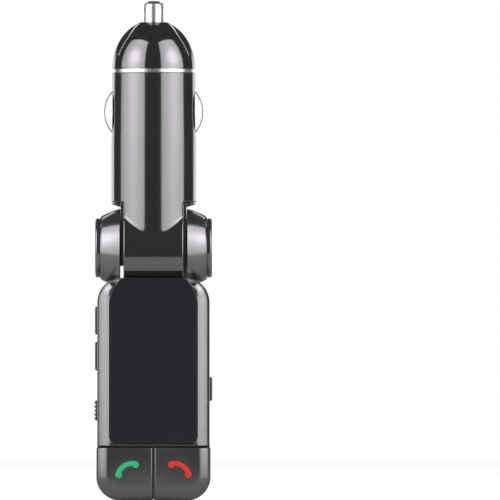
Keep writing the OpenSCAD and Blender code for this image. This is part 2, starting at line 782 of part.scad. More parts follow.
module arm_hollow() {
    intersection() {
        arm_block(arm_wall, hollow_front);
        box([-arm_w, -arm_d, arm_bottom - cut], [arm_w, arm_d, hollow_top]);
    }
    along_x(-lug_in, 2 * lug_in, saddle_r);
    box([-lug_in, 0, -back_drop], [lug_in, arm_d, cut]);
    along_x(-lug_in - lug_wall - cut, 2 * (lug_in + lug_wall + cut), pivot_r + pivot_fit);
    for (side = [-1, 1]) along_x(lug_in + lug_wall, lug_w, lug_hollow_r, side);
    lead(arm_lead_way, channel_r);
}

// Openings in the lower end for the sockets, and the room for their bodies behind it
module socket_openings() {
    box([usb_x - usb_w / 2 - slide_gap, socket_y - usb_h / 2 - slide_gap, arm_bottom - cut],
        [usb_x + usb_w / 2 + slide_gap, socket_y + usb_h / 2 + slide_gap, arm_bottom + usb_d + slide_gap]);
    translate([jack_x, socket_y, arm_bottom - cut])
        cylinder(h = arm_wall + 2 * cut, r = jack_r + slide_gap);
    box([jack_x, socket_y - jack_r - slide_gap, arm_bottom + arm_wall],
        [jack_x + jack_r + slide_gap, socket_y + jack_r + slide_gap,
            arm_bottom + jack_d + jack_step + seat_gap]);
}

module window_shape(gap, back) {
    half_w = window_w / 2 + gap;
    low = window_low - gap;
    high = window_high + gap;
    top_r = window_top_r + gap;
    rotate([90, 0, 0]) translate([0, 0, -back]) linear_extrude(height = back - front_y + cut)
        polygon(concat(
            arc(half_w - top_r, high - top_r * sin(window_turn), top_r, 0, window_turn, arc_steps),
            arc(-half_w + top_r, high - top_r * sin(window_turn), top_r, 180 - window_turn, 180, arc_steps),
            arc(-half_w + window_r, low + window_r, window_r, 180, 270, arc_steps),
            arc(half_w - window_r, low + window_r, window_r, 270, 360, arc_steps)));
}

module side_hole(side, z, length, width) {
    box([side > 0 ? arm_half - arm_wall - cut : -arm_half - cut, side_y - width / 2 - slide_gap,
        z - length / 2 - slide_gap],
        [side > 0 ? arm_half + cut : -arm_half + arm_wall + cut, side_y + width / 2 + slide_gap,
            z + length / 2 + slide_gap]);
}

slider_w = side_w * 0.9;
slider_stem_w = side_w * 0.5;
module arm_front() {
    display_hole_w = display_w - 2 * display_border;
    color("#2b2b2e") placed() half(-1) difference() {
        union() {
            difference() {
                union() {
                    arm_block(0, front_y);
                    for (side = [-1, 1]) lug(side);
                }
                arm_hollow();
                // Room for the call keys
                box([-arm_w, -arm_d, arm_bottom - cut], [arm_w, deck_front, gap_top]);
            }
            // Deck behind the call keys
            intersection() {
                arm_block(arm_wall / 2, front_y + arm_wall / 2);
                box([-arm_w, deck_front, arm_bottom], [arm_w, deck_front + deck_t, gap_top + arm_wall]);
            }
            // Wall between the window and the call keys
            intersection() {
                arm_block(arm_wall / 2, front_y + arm_wall / 2);
                box([-arm_w, -arm_d, gap_top], [arm_w, deck_front + deck_t, gap_top + front_wall * 0.4]);
            }
            // Bosses for the case screws
            for (p = screw_places) translate([p[0], hollow_front - seat_gap, p[1]]) rotate([-90, 0, 0])
                cylinder(h = -hollow_front + seat_gap, r = case_boss_r);
        }
        // Window recess and the opening in front of the display
        window_shape(window_gap, window_back);
        box([-display_hole_w / 2, -arm_d, display_high - display_len + display_border],
            [display_hole_w / 2, hollow_front + cut, display_high - display_border]);
        // Pilot holes, stem holes, side openings and sockets
        for (p = screw_places) translate([p[0], screw_seat_y - screw_len - seat_gap, p[1]])
            rotate([-90, 0, 0])
            cylinder(h = screw_len, r = screw_r + seat_gap);
        for (x = [-mark_x, mark_x]) translate([x, -arm_d, mark_z]) rotate([-90, 0, 0])
            cylinder(h = arm_d, r = key_stem_r + slide_gap);
        side_hole(-1, side_a_z, side_a_len, side_w);
        side_hole(-1, side_b_z, side_b_len, side_w);
        side_hole(1, side_c_z, side_c_len, side_w);
        side_hole(-1, slider_z - slider_travel / 2, slider_stem + slider_travel, slider_stem_w);
        socket_openings();
    }
}

module arm_rear() {
    color("#2b2b2e") placed() half(1) difference() {
        union() {
            difference() {
                union() {
                    arm_block(0, front_y);
                    for (side = [-1, 1]) lug(side);
                }
                arm_hollow();
            }
            // Bosses for the case screws
            for (p = screw_places) translate([p[0], 0, p[1]]) rotate([-90, 0, 0])
                cylinder(h = back_y - arm_wall / 2, r = case_boss_r);
        }
        for (p = screw_places) translate([p[0], screw_seat_y, p[1]]) rotate([-90, 0, 0])
            cylinder(h = head_h + arm_head_sink + cut, r = screw_head_r + slide_gap);
        for (p = screw_places) translate([p[0], -cut, p[1]]) rotate([-90, 0, 0])
            cylinder(h = screw_seat_y + 2 * cut, r = screw_r + slide_gap);
        socket_openings();
    }
}

module arm_screws() {
    color("silver") placed() for (p = screw_places) translate([p[0], screw_seat_y + head_h, p[1]])
        case_screw(screw_len);
}

module window() {
    color("#0c0c0e") placed() intersection() {
        arm_block(0, front_y);
        window_shape(0, window_back - seat_gap);
        difference() {
            box([-arm_w, -arm_d, arm_bottom], [arm_w, 0, 0]);
            along_x(-lug_in, 2 * lug_in, saddle_r);
        }
    }
}

module display_module() {
    glass_t = 1.6;
    color("darkslategray") placed() {
        box([-display_w / 2, display_front, display_high - display_len],
            [display_w / 2, display_front + glass_t, display_high]);
        box([-display_w / 2 + display_border, display_front, display_high - display_len + display_border],
            [display_w / 2 - display_border, board_front - seat_gap, display_high - display_border]);
    }
}

module main_board() {
    color("darkgreen") placed() difference() {
        box([-main_board_w / 2, board_front, board_low], [main_board_w / 2, board_back, board_high]);
        for (p = screw_places) translate([p[0], board_front - cut, p[1]]) rotate([-90, 0, 0])
            cylinder(h = board_t + 2 * cut, r = case_boss_r + 2 * slide_gap);
    }
}

// A plain box on the main board's back or front face
module on_board(x, z, size, back = true) {
    y = back ? board_back + seat_gap : board_front - seat_gap - size[1];
    translate([x - size[0] / 2, y, z - size[2] / 2]) cube(size);
}

radio_size = [2 * (boss_x - case_boss_r) - 2 * slide_gap, 2, 13];
radio_lid = 0.35;
radio_z = (side_a_z + side_b_z) / 2;
module radio_module() {
    color("silver") placed() {
        on_board(0, radio_z, radio_size);
        translate([0, radio_size[1], 0])
            on_board(0, radio_z, [radio_size[0] * 0.8, radio_lid, radio_size[2] * 0.8]);
    }
}
audio_size = [7, 1.4, 7];
module audio_chip() { color("#303030") placed() on_board(0, slider_z, audio_size); }

mic_r = 2;
mic_h = 1.6;
module microphone() {
    color("silver") placed() translate([0, board_front - seat_gap, boss_low]) rotate([90, 0, 0])
        cylinder(h = mic_h, r = mic_r);
}

// The USB socket is a folded sheet shell round a plastic tongue
module usb_shell() {
    color("silver") placed() difference() {
        box([usb_x - usb_w / 2, socket_y - usb_h / 2, arm_bottom + end_lip],
            [usb_x + usb_w / 2, socket_y + usb_h / 2, arm_bottom + usb_d]);
        box([usb_x - usb_w / 2 + usb_sheet, socket_y - usb_h / 2 + usb_sheet, arm_bottom],
            [usb_x + usb_w / 2 - usb_sheet, socket_y + usb_h / 2 - usb_sheet,
                arm_bottom + usb_d - usb_sheet]);
    }
}
usb_back_t = 2.5;
module usb_tongue() {
    high = arm_bottom + usb_d - usb_sheet - seat_gap;
    inner_w = usb_w - 2 * usb_sheet - 2 * seat_gap;
    inner_h = usb_h - 2 * usb_sheet - 2 * seat_gap;
    color("white") placed() {
        box([usb_x - inner_w / 2, socket_y - inner_h / 2, high - usb_back_t],
            [usb_x + inner_w / 2, socket_y + inner_h / 2, high]);
        box([usb_x - inner_w / 2 + usb_tongue_inset, socket_y + inner_h / 2 - usb_tongue_up - usb_tongue_t,
            arm_bottom + usb_tongue_back],
            [usb_x + inner_w / 2 - usb_tongue_inset, socket_y + inner_h / 2 - usb_tongue_up,
                high - usb_back_t / 2]);
    }
}

module audio_jack() {
    color("#1c1c1e") placed() translate([jack_x, socket_y, arm_bottom + end_lip]) difference() {
        union() {
            cylinder(h = arm_wall + jack_step, r = jack_r);
            translate([-jack_r, -jack_r + seat_gap, arm_wall + jack_step - end_lip])
                cube([2 * jack_r, 2 * jack_r, jack_d - arm_wall]);
        }
        translate([0, 0, -cut]) cylinder(h = jack_d - jack_back + cut, r = jack_bore_r);
    }
}

// A call key: the arm's own lower front corner, hollow behind, with a stem to its switch
module call_key(side) {
    key_low = arm_bottom - key_proud;
    low_x = side > 0 ? key_slit / 2 : -arm_w;
    high_x = side > 0 ? arm_w : -key_slit / 2;
    key_back = front_y + key_d;
    skin = [side > 0 ? key_slit / 2 + key_wall : -arm_w, side > 0 ? arm_w : -key_slit / 2 - key_wall];
    intersection() {
        arm_block(-key_proud, front_y - key_proud);
        box([low_x, -arm_d, key_low], [high_x, key_back, key_top]);
        difference() {
            box([-arm_w, -arm_d, key_low - cut], [arm_w, key_back, key_top]);
            intersection() {
                arm_block(key_wall, front_y + key_wall);
                box([skin[0], -arm_d, arm_bottom], [skin[1], key_back + cut, key_top - key_wall]);
            }
        }
    }
    translate([side * mark_x, front_y + key_wall / 2, mark_z]) rotate([-90, 0, 0])
        cylinder(h = board_front - seat_gap - tact_t - key_travel - slide_gap - front_y - key_wall / 2,
            r = key_stem_r);
}

// A telephone handset: a bow with a round end at each side, let into the key's face
module handset(side, grow) {
    lean = side < 0 ? 90 + mark_tilt : 90 - mark_tilt;
    translate([side * mark_x, front_y - key_proud + mark_t, mark_z]) rotate([90, 0, 0])
        linear_extrude(height = mark_t + (grow > 0 ? cut : 0))
            translate([-mark_bow_r * cos(lean), -mark_bow_r * sin(lean)]) {
                polygon(concat(
                    arc(0, 0, mark_bow_r + mark_stroke / 2 + grow, lean - mark_sweep, lean + mark_sweep,
                        2 * arc_steps),
                    reversed(arc(0, 0, mark_bow_r - mark_stroke / 2 - grow, lean - mark_sweep,
                        lean + mark_sweep, 2 * arc_steps))));
                for (s = [-1, 1]) translate((mark_bow_r - mark_end_r * 0.3) * [cos(lean + s * mark_sweep),
                    sin(lean + s * mark_sweep)])
                    circle(r = mark_end_r + grow);
            }
}

mark_gap = 0.04;
module answer_key() { color("#3a3a3c") placed() difference() { call_key(-1); handset(-1, mark_gap); } }
module hangup_key() { color("#3a3a3c") placed() difference() { call_key(1); handset(1, mark_gap); } }
module answer_mark() { color("#35c985") placed() handset(-1, 0); }
module hangup_mark() { color("#e8402e") placed() handset(1, 0); }

// A small switch with a round button, on the main board's front face
module call_switch(side) {
    body_h = tact_t * 0.7;
    color("silver") placed() {
        on_board(side * mark_x, mark_z, [tact_w, body_h, tact_w], back = false);
        translate([side * mark_x, board_front - seat_gap, mark_z]) rotate([90, 0, 0])
            cylinder(h = tact_t, r = tact_w * 0.25);
    }
}
module answer_switch() { call_switch(-1); }
module hangup_switch() { call_switch(1); }

// A side key: a cap through the wall with a flange inside it
module side_key(side, z, length) {
    color("#303033") placed() mirror([side < 0 ? 1 : 0, 0, 0]) {
        box([side_in - flange_t / 2, side_y - side_w / 2, z - length / 2],
            [arm_half + side_out, side_y + side_w / 2, z + length / 2]);
        box([side_in - flange_t, side_y - side_w / 2 - side_flange, z - length / 2 - side_flange],
            [side_in, max(side_y + side_w / 2 + side_flange, board_back + tact_t),
                z + length / 2 + side_flange]);
    }
}
module side_key_upper() { side_key(-1, side_a_z, side_a_len); }
module side_key_lower() { side_key(-1, side_b_z, side_b_len); }
module side_key_right() { side_key(1, side_c_z, side_c_len); }

// A side-acting switch at the main board's edge, reached by its key's flange
module side_switch(side, z) {
    high_x = side_in - flange_t - side_travel - slide_gap;
    color("silver") placed() mirror([side < 0 ? 1 : 0, 0, 0]) {
        translate([0, 0, z]) box([high_x - side_tact_d - tact_button, board_back + seat_gap,
            -side_tact_w / 2],
            [high_x - tact_button, board_back + seat_gap + tact_t, side_tact_w / 2]);
        translate([0, 0, z]) box([high_x - 2 * tact_button, board_back + seat_gap + tact_t * 0.25,
            -side_tact_w / 5],
            [high_x, board_back + seat_gap + tact_t * 0.75, side_tact_w / 5]);
    }
}
module side_switch_upper() { side_switch(-1, side_a_z - side_tact_shift); }
module side_switch_lower() { side_switch(-1, side_b_z); }
module side_switch_right() { side_switch(1, side_c_z); }

// The ribbed slider lies on the wall, and its stem reaches the switch inside
module power_slider() {
    pitch = slider_len / slider_ribs;
    stem_in = side_in - flange_t - slide_gap;
    color("#303033") placed() mirror([1, 0, 0]) {
        box([arm_half + seat_gap, side_y - slider_w / 2, slider_z - slider_len / 2],
            [arm_half + seat_gap + slider_plate, side_y + slider_w / 2, slider_z + slider_len / 2]);
        for (i = [0:slider_ribs - 1]) translate([0, 0, slider_z - slider_len / 2 + pitch * (i + 0.25)])
            box([arm_half + seat_gap, side_y - slider_w / 2, 0],
                [arm_half + seat_gap + slider_plate + slider_rib_out, side_y + slider_w / 2, pitch / 2]);
        box([stem_in, side_y - slider_stem_w / 2, slider_z - slider_stem / 2],
            [arm_half + seat_gap + slider_plate, side_y + slider_stem_w / 2, slider_z + slider_stem / 2]);
    }
}
module slide_switch() {
    high_x = side_in - flange_t - 2 * slide_gap;
    color("silver") placed() mirror([1, 0, 0]) translate([0, 0, slider_z - slider_travel / 2])
        box([high_x - side_tact_d, board_back + seat_gap, -(slider_len + slider_travel) / 2],
            [high_x, board_back + seat_gap + tact_t, (slider_len + slider_travel) / 2]);
}

barrel_front();
barrel_rear();
nose_cap();
bright_ring();
tip_contact();
tip_spring();
spring_seat();
ground_contact_left();
ground_contact_right();
power_board();
power_inductor();
filter_capacitor();
converter_chip();
chip_fuse();
plug_screw();
pivot_bush_left();
pivot_bush_right();
plug_lead();
friction_washer_left();
friction_washer_right();
retaining_clip_left();
retaining_clip_right();
hinge_cap_left();
hinge_cap_right();
arm_front();
arm_rear();
window();
display_module();
main_board();
radio_module();
audio_chip();
microphone();
usb_shell();
usb_tongue();
audio_jack();
arm_lead();
answer_key();
hangup_key();
answer_mark();
hangup_mark();
answer_switch();
hangup_switch();
side_key_upper();
side_key_lower();
side_key_right();
side_switch_upper();
side_switch_lower();
side_switch_right();
power_slider();
slide_switch();
arm_screws();
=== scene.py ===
import json
import math
import bpy
import bmesh
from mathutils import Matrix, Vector
from mathutils.bvhtree import BVHTree


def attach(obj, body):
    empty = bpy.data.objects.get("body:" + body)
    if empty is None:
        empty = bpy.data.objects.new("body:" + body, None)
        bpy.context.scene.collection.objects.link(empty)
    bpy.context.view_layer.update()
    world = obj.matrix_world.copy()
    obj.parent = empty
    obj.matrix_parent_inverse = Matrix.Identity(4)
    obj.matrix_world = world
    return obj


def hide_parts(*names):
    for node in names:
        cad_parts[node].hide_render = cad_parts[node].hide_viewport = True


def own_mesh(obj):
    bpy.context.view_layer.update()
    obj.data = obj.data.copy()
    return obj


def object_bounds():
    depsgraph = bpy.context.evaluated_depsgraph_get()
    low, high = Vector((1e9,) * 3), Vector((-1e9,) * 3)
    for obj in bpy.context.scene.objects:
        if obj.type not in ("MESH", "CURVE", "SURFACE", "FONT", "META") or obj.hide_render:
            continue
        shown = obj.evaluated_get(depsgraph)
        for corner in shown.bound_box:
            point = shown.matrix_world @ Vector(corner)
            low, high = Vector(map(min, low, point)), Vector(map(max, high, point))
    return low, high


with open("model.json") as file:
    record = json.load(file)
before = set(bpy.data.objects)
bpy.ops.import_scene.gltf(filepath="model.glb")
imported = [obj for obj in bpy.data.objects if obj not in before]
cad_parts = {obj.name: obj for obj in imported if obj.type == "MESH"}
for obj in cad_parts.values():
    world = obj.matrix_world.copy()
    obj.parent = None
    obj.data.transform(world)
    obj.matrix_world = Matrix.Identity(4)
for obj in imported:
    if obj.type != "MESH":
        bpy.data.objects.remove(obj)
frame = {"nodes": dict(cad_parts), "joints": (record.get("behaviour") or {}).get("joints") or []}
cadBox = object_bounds()
nodes = frame["nodes"]
mm = 0.001
hinge = [j for j in frame["joints"] if j["name"] == "arm_hinge"][0]
hingeZ = hinge["pos_m"][2] / mm      # height of the hinge axis, in mm
print("frame loaded:", len(nodes), "nodes")


# plain tools: points are in mm, with heights from the hinge axis

def at(p):
    return Vector((round(p[0], 6), round(p[1], 6), round(p[2] + hingeZ, 6))) * mm


def smoothStep(a, b, v):
    t = min(1, max(0, (v - a) / (b - a)))
    return t * t * (3 - 2 * t)


def between(a, b, t):
    return a + (b - a) * t


def ringAngles(steps):
    # half a step off, so that no corner lies in the plane between the half shells
    return [2 * math.pi * (k + 0.5) / steps for k in range(steps)]


def filleted(points, r, steps):
    # rounds each corner of a closed outline
    out = []
    n = len(points)
    for i in range(n):
        b = Vector(points[i])
        a, c = Vector(points[i - 1]), Vector(points[(i + 1) % n])
        u, v = (a - b).normalized(), (c - b).normalized()
        turn = u.angle(v)
        reach = min(r / math.tan(turn / 2), (a - b).length * 0.49, (c - b).length * 0.49)
        centre = b + (u + v).normalized() * (reach * math.tan(turn / 2) / math.sin(turn / 2))
        start, end = b + u * reach - centre, b + v * reach - centre
        sweep = start.angle(end)
        for k in range(steps + 1):
            w = k / steps
            arc = start * math.sin((1 - w) * sweep) + end * math.sin(w * sweep)
            out.append(tuple(centre + arc / math.sin(sweep)))
    return out


def oblong(midY, midZ, halfY, halfZ, r, steps=3):
    # a rectangle across x, with rounded corners
    corners = [(midY - halfY, midZ - halfZ), (midY + halfY, midZ - halfZ),
               (midY + halfY, midZ + halfZ), (midY - halfY, midZ + halfZ)]
    return filleted(corners, r, steps)


def loft(loops, closed=False):
    # faces between loops of equally many points, with flat ends unless it closes on itself
    n, count = len(loops[0]), len(loops)
    verts = [p for loop in loops for p in loop]
    faces = []
    for k in range(count if closed else count - 1):
        m = (k + 1) % count
        for i in range(n):
            j = (i + 1) % n
            faces.append((k * n + i, k * n + j, m * n + j, m * n + i))
    if not closed:
        faces += [tuple(range(n)), tuple(range((count - 1) * n, count * n))]
    return verts, faces


def turned(profile, place, steps, start=0.0, turn=360.0):
    # turns a closed profile of (radius, along) about an axis; a part turn gets flat ends
    whole = turn == 360
    loops = []
    for c in range(steps if whole else steps + 1):
        a = math.radians(start + turn * c / steps)
        loops.append([place(r, h, a) for r, h in profile])
    return loft(loops, closed=whole)


def aboutZ(r, h, a):
    return (r * math.cos(a), r * math.sin(a), h)


def aboutX(side):
    return lambda r, h, a: (side * h, -r * math.cos(a), r * math.sin(a))


def box(low, high):
    (x0, y0, z0), (x1, y1, z1) = low, high
    verts = [(x, y, z) for x in (x0, x1) for y in (y0, y1) for z in (z0, z1)]
    faces = [(0, 1, 3, 2), (4, 6, 7, 5), (0, 4, 5, 1), (2, 3, 7, 6), (0, 2, 6, 4), (1, 5, 7, 3)]
    return verts, faces


def roundedBox(low, high, r, steps):
    # a box with its edges rounded, as a loft along x
    (x0, y0, z0), (x1, y1, z1) = low, high
    stations = []
    for k in range(steps + 1):
        a = math.pi / 2 * k / steps
        stations.append((x0 + r * (1 - math.cos(a)), r * (1 - math.sin(a))))
    stations += [(x1 - (x - x0), g) for x, g in reversed(stations)]
    loops = []
    for x, g in stations:
        corners = [(y0 + g, z0 + g), (y1 - g, z0 + g), (y1 - g, z1 - g), (y0 + g, z1 - g)]
        ring = filleted(corners, max(r - g, 0.02) + 0.15 * r, steps)
        loops.append([(x, y, z) for y, z in ring])
    return loft(loops)


def rod(centre, direction, r, length):
    # a plain round cutter; direction is "y" or "z"
    x, y, z = centre
    loops = []
    for h in (0, length):
        if direction == "y":
            loops.append([(x + r * math.cos(a), y + h, z + r * math.sin(a)) for a in ringAngles(40)])
        else:
            loops.append([(x + r * math.cos(a), y + r * math.sin(a), z + h) for a in ringAngles(40)])
    return loft(loops)


def lengthwise(x0, x1, r, steps=96):
    # a round cutter along x
    return loft([[(x, -r * math.cos(a), r * math.sin(a)) for a in ringAngles(steps)] for x in (x0, x1)])


def tube(points, r, steps=20):
    # a round tube along points that all lie in one upright plane, with mitred bends
    loops = []
    for i, p in enumerate(points):
        before = (p - points[i - 1]).normalized() if i > 0 else (points[1] - p).normalized()
        after = (points[i + 1] - p).normalized() if i < len(points) - 1 else before
        along = (before + after).normalized()
        across = Vector((0, 1, 0)) if abs(along.y) < 0.9 else Vector((1, 0, 0))
        third = along.cross(across).normalized()
        across = third.cross(along).normalized()
        stretch = 1 / max(0.5, along.dot(before))
        loops.append([tuple(p + (across * math.cos(a) + third * stretch * math.sin(a)) * r)
                      for a in ringAngles(steps)])
    return loft(loops)


def rounded(points, most, steps=5):
    # a path whose bends are turned into short arcs
    pts = [Vector(p) for p in points]
    out = [pts[0]]
    for i in range(1, len(pts) - 1):
        reach = min(most, (pts[i] - pts[i - 1]).length * 0.45, (pts[i + 1] - pts[i]).length * 0.45)
        a = pts[i] + (pts[i - 1] - pts[i]).normalized() * reach
        c = pts[i] + (pts[i + 1] - pts[i]).normalized() * reach
        for k in range(steps + 1):
            t = k / steps
            out.append(a * (1 - t) ** 2 + pts[i] * 2 * t * (1 - t) + c * t * t)
    out.append(pts[-1])
    return out


# tools for meshes and pieces

def linked(name, data):
    obj = bpy.data.objects.new(name, data)
    bpy.context.scene.collection.objects.link(obj)
    return obj


def bmeshOf(shape):
    bm = bmesh.new()
    made = [bm.verts.new(at(p)) for p in shape[0]]
    for f in shape[1]:
        bm.faces.new([made[i] for i in f])
    return bm


def dropLoose(bm):
    bmesh.ops.delete(bm, geom=[e for e in bm.edges if not e.link_faces], context="EDGES")
    bmesh.ops.delete(bm, geom=[v for v in bm.verts if not v.link_faces], context="VERTS")


def openEdges(bm):
    return [e for e in bm.edges if len(e.link_faces) == 1]


def closeSlits(bm):
    # a cut can leave a slit of a few short edges, and it gets a face
    bmesh.ops.holes_fill(bm, edges=openEdges(bm), sides=12)


def shadeSmooth(mesh, sharp):
    # smooth faces, apart from edges that turn more than this angle
    for p in mesh.polygons:
        p.use_smooth = True
    mesh.set_sharp_from_angle(angle=math.radians(sharp))


def keepResult(obj, modifier):
    # makes a modifier's result the piece's own mesh
    bpy.context.view_layer.update()
    done = bpy.data.meshes.new_from_object(obj.evaluated_get(bpy.context.evaluated_depsgraph_get()))
    obj.modifiers.remove(modifier)
    old = obj.data
    name = old.name
    obj.data = done
    bpy.data.meshes.remove(old)
    done.name = name


def dress(obj, look, body, node):
    obj.data.materials.append(looks[look])
    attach(obj, body)
    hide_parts(node)


def makePiece(name, shape, look, body, node, sharp=38.0):
    # the shape is one closed shell; the piece gets its look's material
    bm = bmeshOf(shape)
    bmesh.ops.remove_doubles(bm, verts=bm.verts, dist=2e-7)
    bmesh.ops.dissolve_degenerate(bm, edges=bm.edges, dist=1e-7)
    dropLoose(bm)
    bmesh.ops.recalc_face_normals(bm, faces=bm.faces)
    mesh = bpy.data.meshes.new(name)
    bm.to_mesh(mesh)
    bm.free()
    shadeSmooth(mesh, sharp)
    obj = linked(name, mesh)
    dress(obj, look, body, node)
    return obj


def carve(obj, shapes, operation="DIFFERENCE"):
    # cuts closed shapes out of a piece, or joins them to it, for good
    for verts, faces in shapes:
        mesh = bpy.data.meshes.new("tool")
        mesh.from_pydata([at(p) for p in verts], [], faces)
        bm = bmesh.new()
        bm.from_mesh(mesh)
        bmesh.ops.remove_doubles(bm, verts=bm.verts, dist=1e-7)
        bmesh.ops.recalc_face_normals(bm, faces=bm.faces)
        bm.to_mesh(mesh)
        bm.free()
        tool = linked("tool", mesh)
        m = obj.modifiers.new("carve", "BOOLEAN")
        m.object = tool
        m.operation = operation
        m.solver = "EXACT"
        keepResult(obj, m)
        bpy.data.objects.remove(tool)
        bpy.data.meshes.remove(mesh)


def soften(obj, width, angle, smooth, weld, even=False):
    # rounds the sharp edges of a finished piece
    bm = bmesh.new()
    bm.from_mesh(obj.data)
    bmesh.ops.remove_doubles(bm, verts=bm.verts, dist=weld * mm)
    bmesh.ops.dissolve_degenerate(bm, edges=bm.edges, dist=1e-6)
    closeSlits(bm)
    if width > 0:
        surface = BVHTree.FromBMesh(bm)
        edges = [e for e in bm.edges if len(e.link_faces) == 2
                 and math.degrees(e.calc_face_angle(0)) > angle and e.calc_length() > 0.02 * mm]
        bmesh.ops.bevel(bm, geom=edges, offset=width * mm, offset_type="OFFSET", segments=2,
                        profile=0.5, affect="EDGES", clamp_overlap=False)
        # a corner that strayed from the surface goes back to it
        for v in bm.verts:
            near, _, _, gap = surface.find_nearest(v.co)
            if gap > 0.8 * width * mm:
                v.co = near
        bmesh.ops.dissolve_degenerate(bm, edges=bm.edges, dist=1e-7)
    closeSlits(bm)
    dropLoose(bm)
    bm.to_mesh(obj.data)
    bm.free()
    shadeSmooth(obj.data, smooth)
    if even:
        # large flat faces keep their own direction, and only the small ones beside them turn
        m = obj.modifiers.new("even", "WEIGHTED_NORMAL")
        m.keep_sharp = True
        m.weight = 90
        keepResult(obj, m)


def nodeCopy(name, node, look, body, width):
    # a piece with the node's own form and rounded edges
    mesh = nodes[node].data.copy()
    mesh.name = name
    obj = linked(name, mesh)
    bm = bmesh.new()
    bm.from_mesh(mesh)
    bmesh.ops.remove_doubles(bm, verts=bm.verts, dist=1e-6)
    bmesh.ops.dissolve_limit(bm, angle_limit=math.radians(0.5), verts=bm.verts, edges=bm.edges)
    bm.to_mesh(mesh)
    bm.free()
    if "custom_normal" in mesh.attributes:
        mesh.attributes.remove(mesh.attributes["custom_normal"])
    soften(obj, width, 40, 30, weld=0.002)
    mesh.materials.clear()
    dress(obj, look, body, node)
    return obj


# tools for shader trees; a value is a socket or a plain number

def feed(tree, socket, value):
    if isinstance(value, (int, float)):
        socket.default_value = value
    else:
        tree.links.new(value, socket)


def mapped(tree, value, fromMin=0.0, fromMax=1.0, toMin=0.0, toMax=1.0):
    n = tree.nodes.new("ShaderNodeMapRange")
    names = ("Value", "From Min", "From Max", "To Min", "To Max")
    for name, given in zip(names, (value, fromMin, fromMax, toMin, toMax)):
        feed(tree, n.inputs[name], given)
    return n.outputs[0]


def combined(tree, operation, a, b):
    n = tree.nodes.new("ShaderNodeMath")
    n.operation = operation
    feed(tree, n.inputs[0], a)
    feed(tree, n.inputs[1], b)
    return n.outputs[0]


def againstVector(tree, operation, value, fixed):
    n = tree.nodes.new("ShaderNodeVectorMath")
    n.operation = operation
    n.inputs[1].default_value = fixed
    tree.links.new(value, n.inputs[0])
    return n.outputs["Value"]


# camera and studio, in metres

camera = {"lens": 800.0, "sensor": 36.0, "near": 0.01, "far": 20,
          "place": (0.0235, -2.713, -0.01935), "target": (0.0235, 0.0, -0.01935)}


def makeCamera():
    c = camera
    data = bpy.data.cameras.new("camera")
    data.type = "PERSP"
    data.lens = c["lens"]
    data.sensor_width = c["sensor"]
    data.clip_start, data.clip_end = c["near"], c["far"]
    obj = linked("camera", data)
    obj.location = c["place"]
    obj.rotation_euler = (Vector(c["target"]) - obj.location).to_track_quat("-Z", "Y").to_euler()
    bpy.context.scene.camera = obj
    bpy.context.scene.view_settings.view_transform = "Standard"


softbox = {"radius": 0.40, "left": (24.0, 97.5), "right": (20.5, 88.0), "low": -0.24, "slope": 1.675,
           "light": 1.64, "dimLight": 0.82, "dimBelow": -0.20, "fullAbove": 0.02,
           "hotAngle": 57, "hotRise": 22, "hotLift": 0.02, "hotGain": 1.25, "hotSize": 0.24,
           "sideFrom": 0.80, "sideLight": 0.76, "middleLight": 1.16}
arch = {"ways": ((0.832, 0.500, 0.242), (0.586, 0.527, 0.616), (0.176, 0.904, 0.391)),
        "radius": 0.6, "width": 0.022, "lift": 0.03, "light": 3.0}
floor = {"colour": 0.55, "roughness": 0.7, "lift": 0.78, "half": 2.4, "front": -0.148, "back": 0.5,
         "gap": 0.0002}
surround = {"frontGrey": 0.070, "backWhite": 1.8, "backFrom": 0.68, "backFull": 0.73,
            "highFrom": 0.22, "highFull": 0.10}


def stageMesh(name, verts, faces, material, lamp=False):
    mesh = bpy.data.meshes.new(name)
    mesh.from_pydata(verts, [], faces)
    mesh.materials.append(material)
    obj = linked(name, mesh)
    if lamp:
        obj.visible_camera = False
        obj.visible_shadow = False
        obj.visible_transmission = False


def lampMaterial(name):
    # a surface that only shines; gives the material and its strength socket too
    mat = bpy.data.materials.new(name)
    mat.use_nodes = True
    n = mat.node_tree.nodes
    n.clear()
    out, glow = n.new("ShaderNodeOutputMaterial"), n.new("ShaderNodeEmission")
    mat.node_tree.links.new(glow.outputs[0], out.inputs["Surface"])
    return mat, glow.inputs["Strength"]


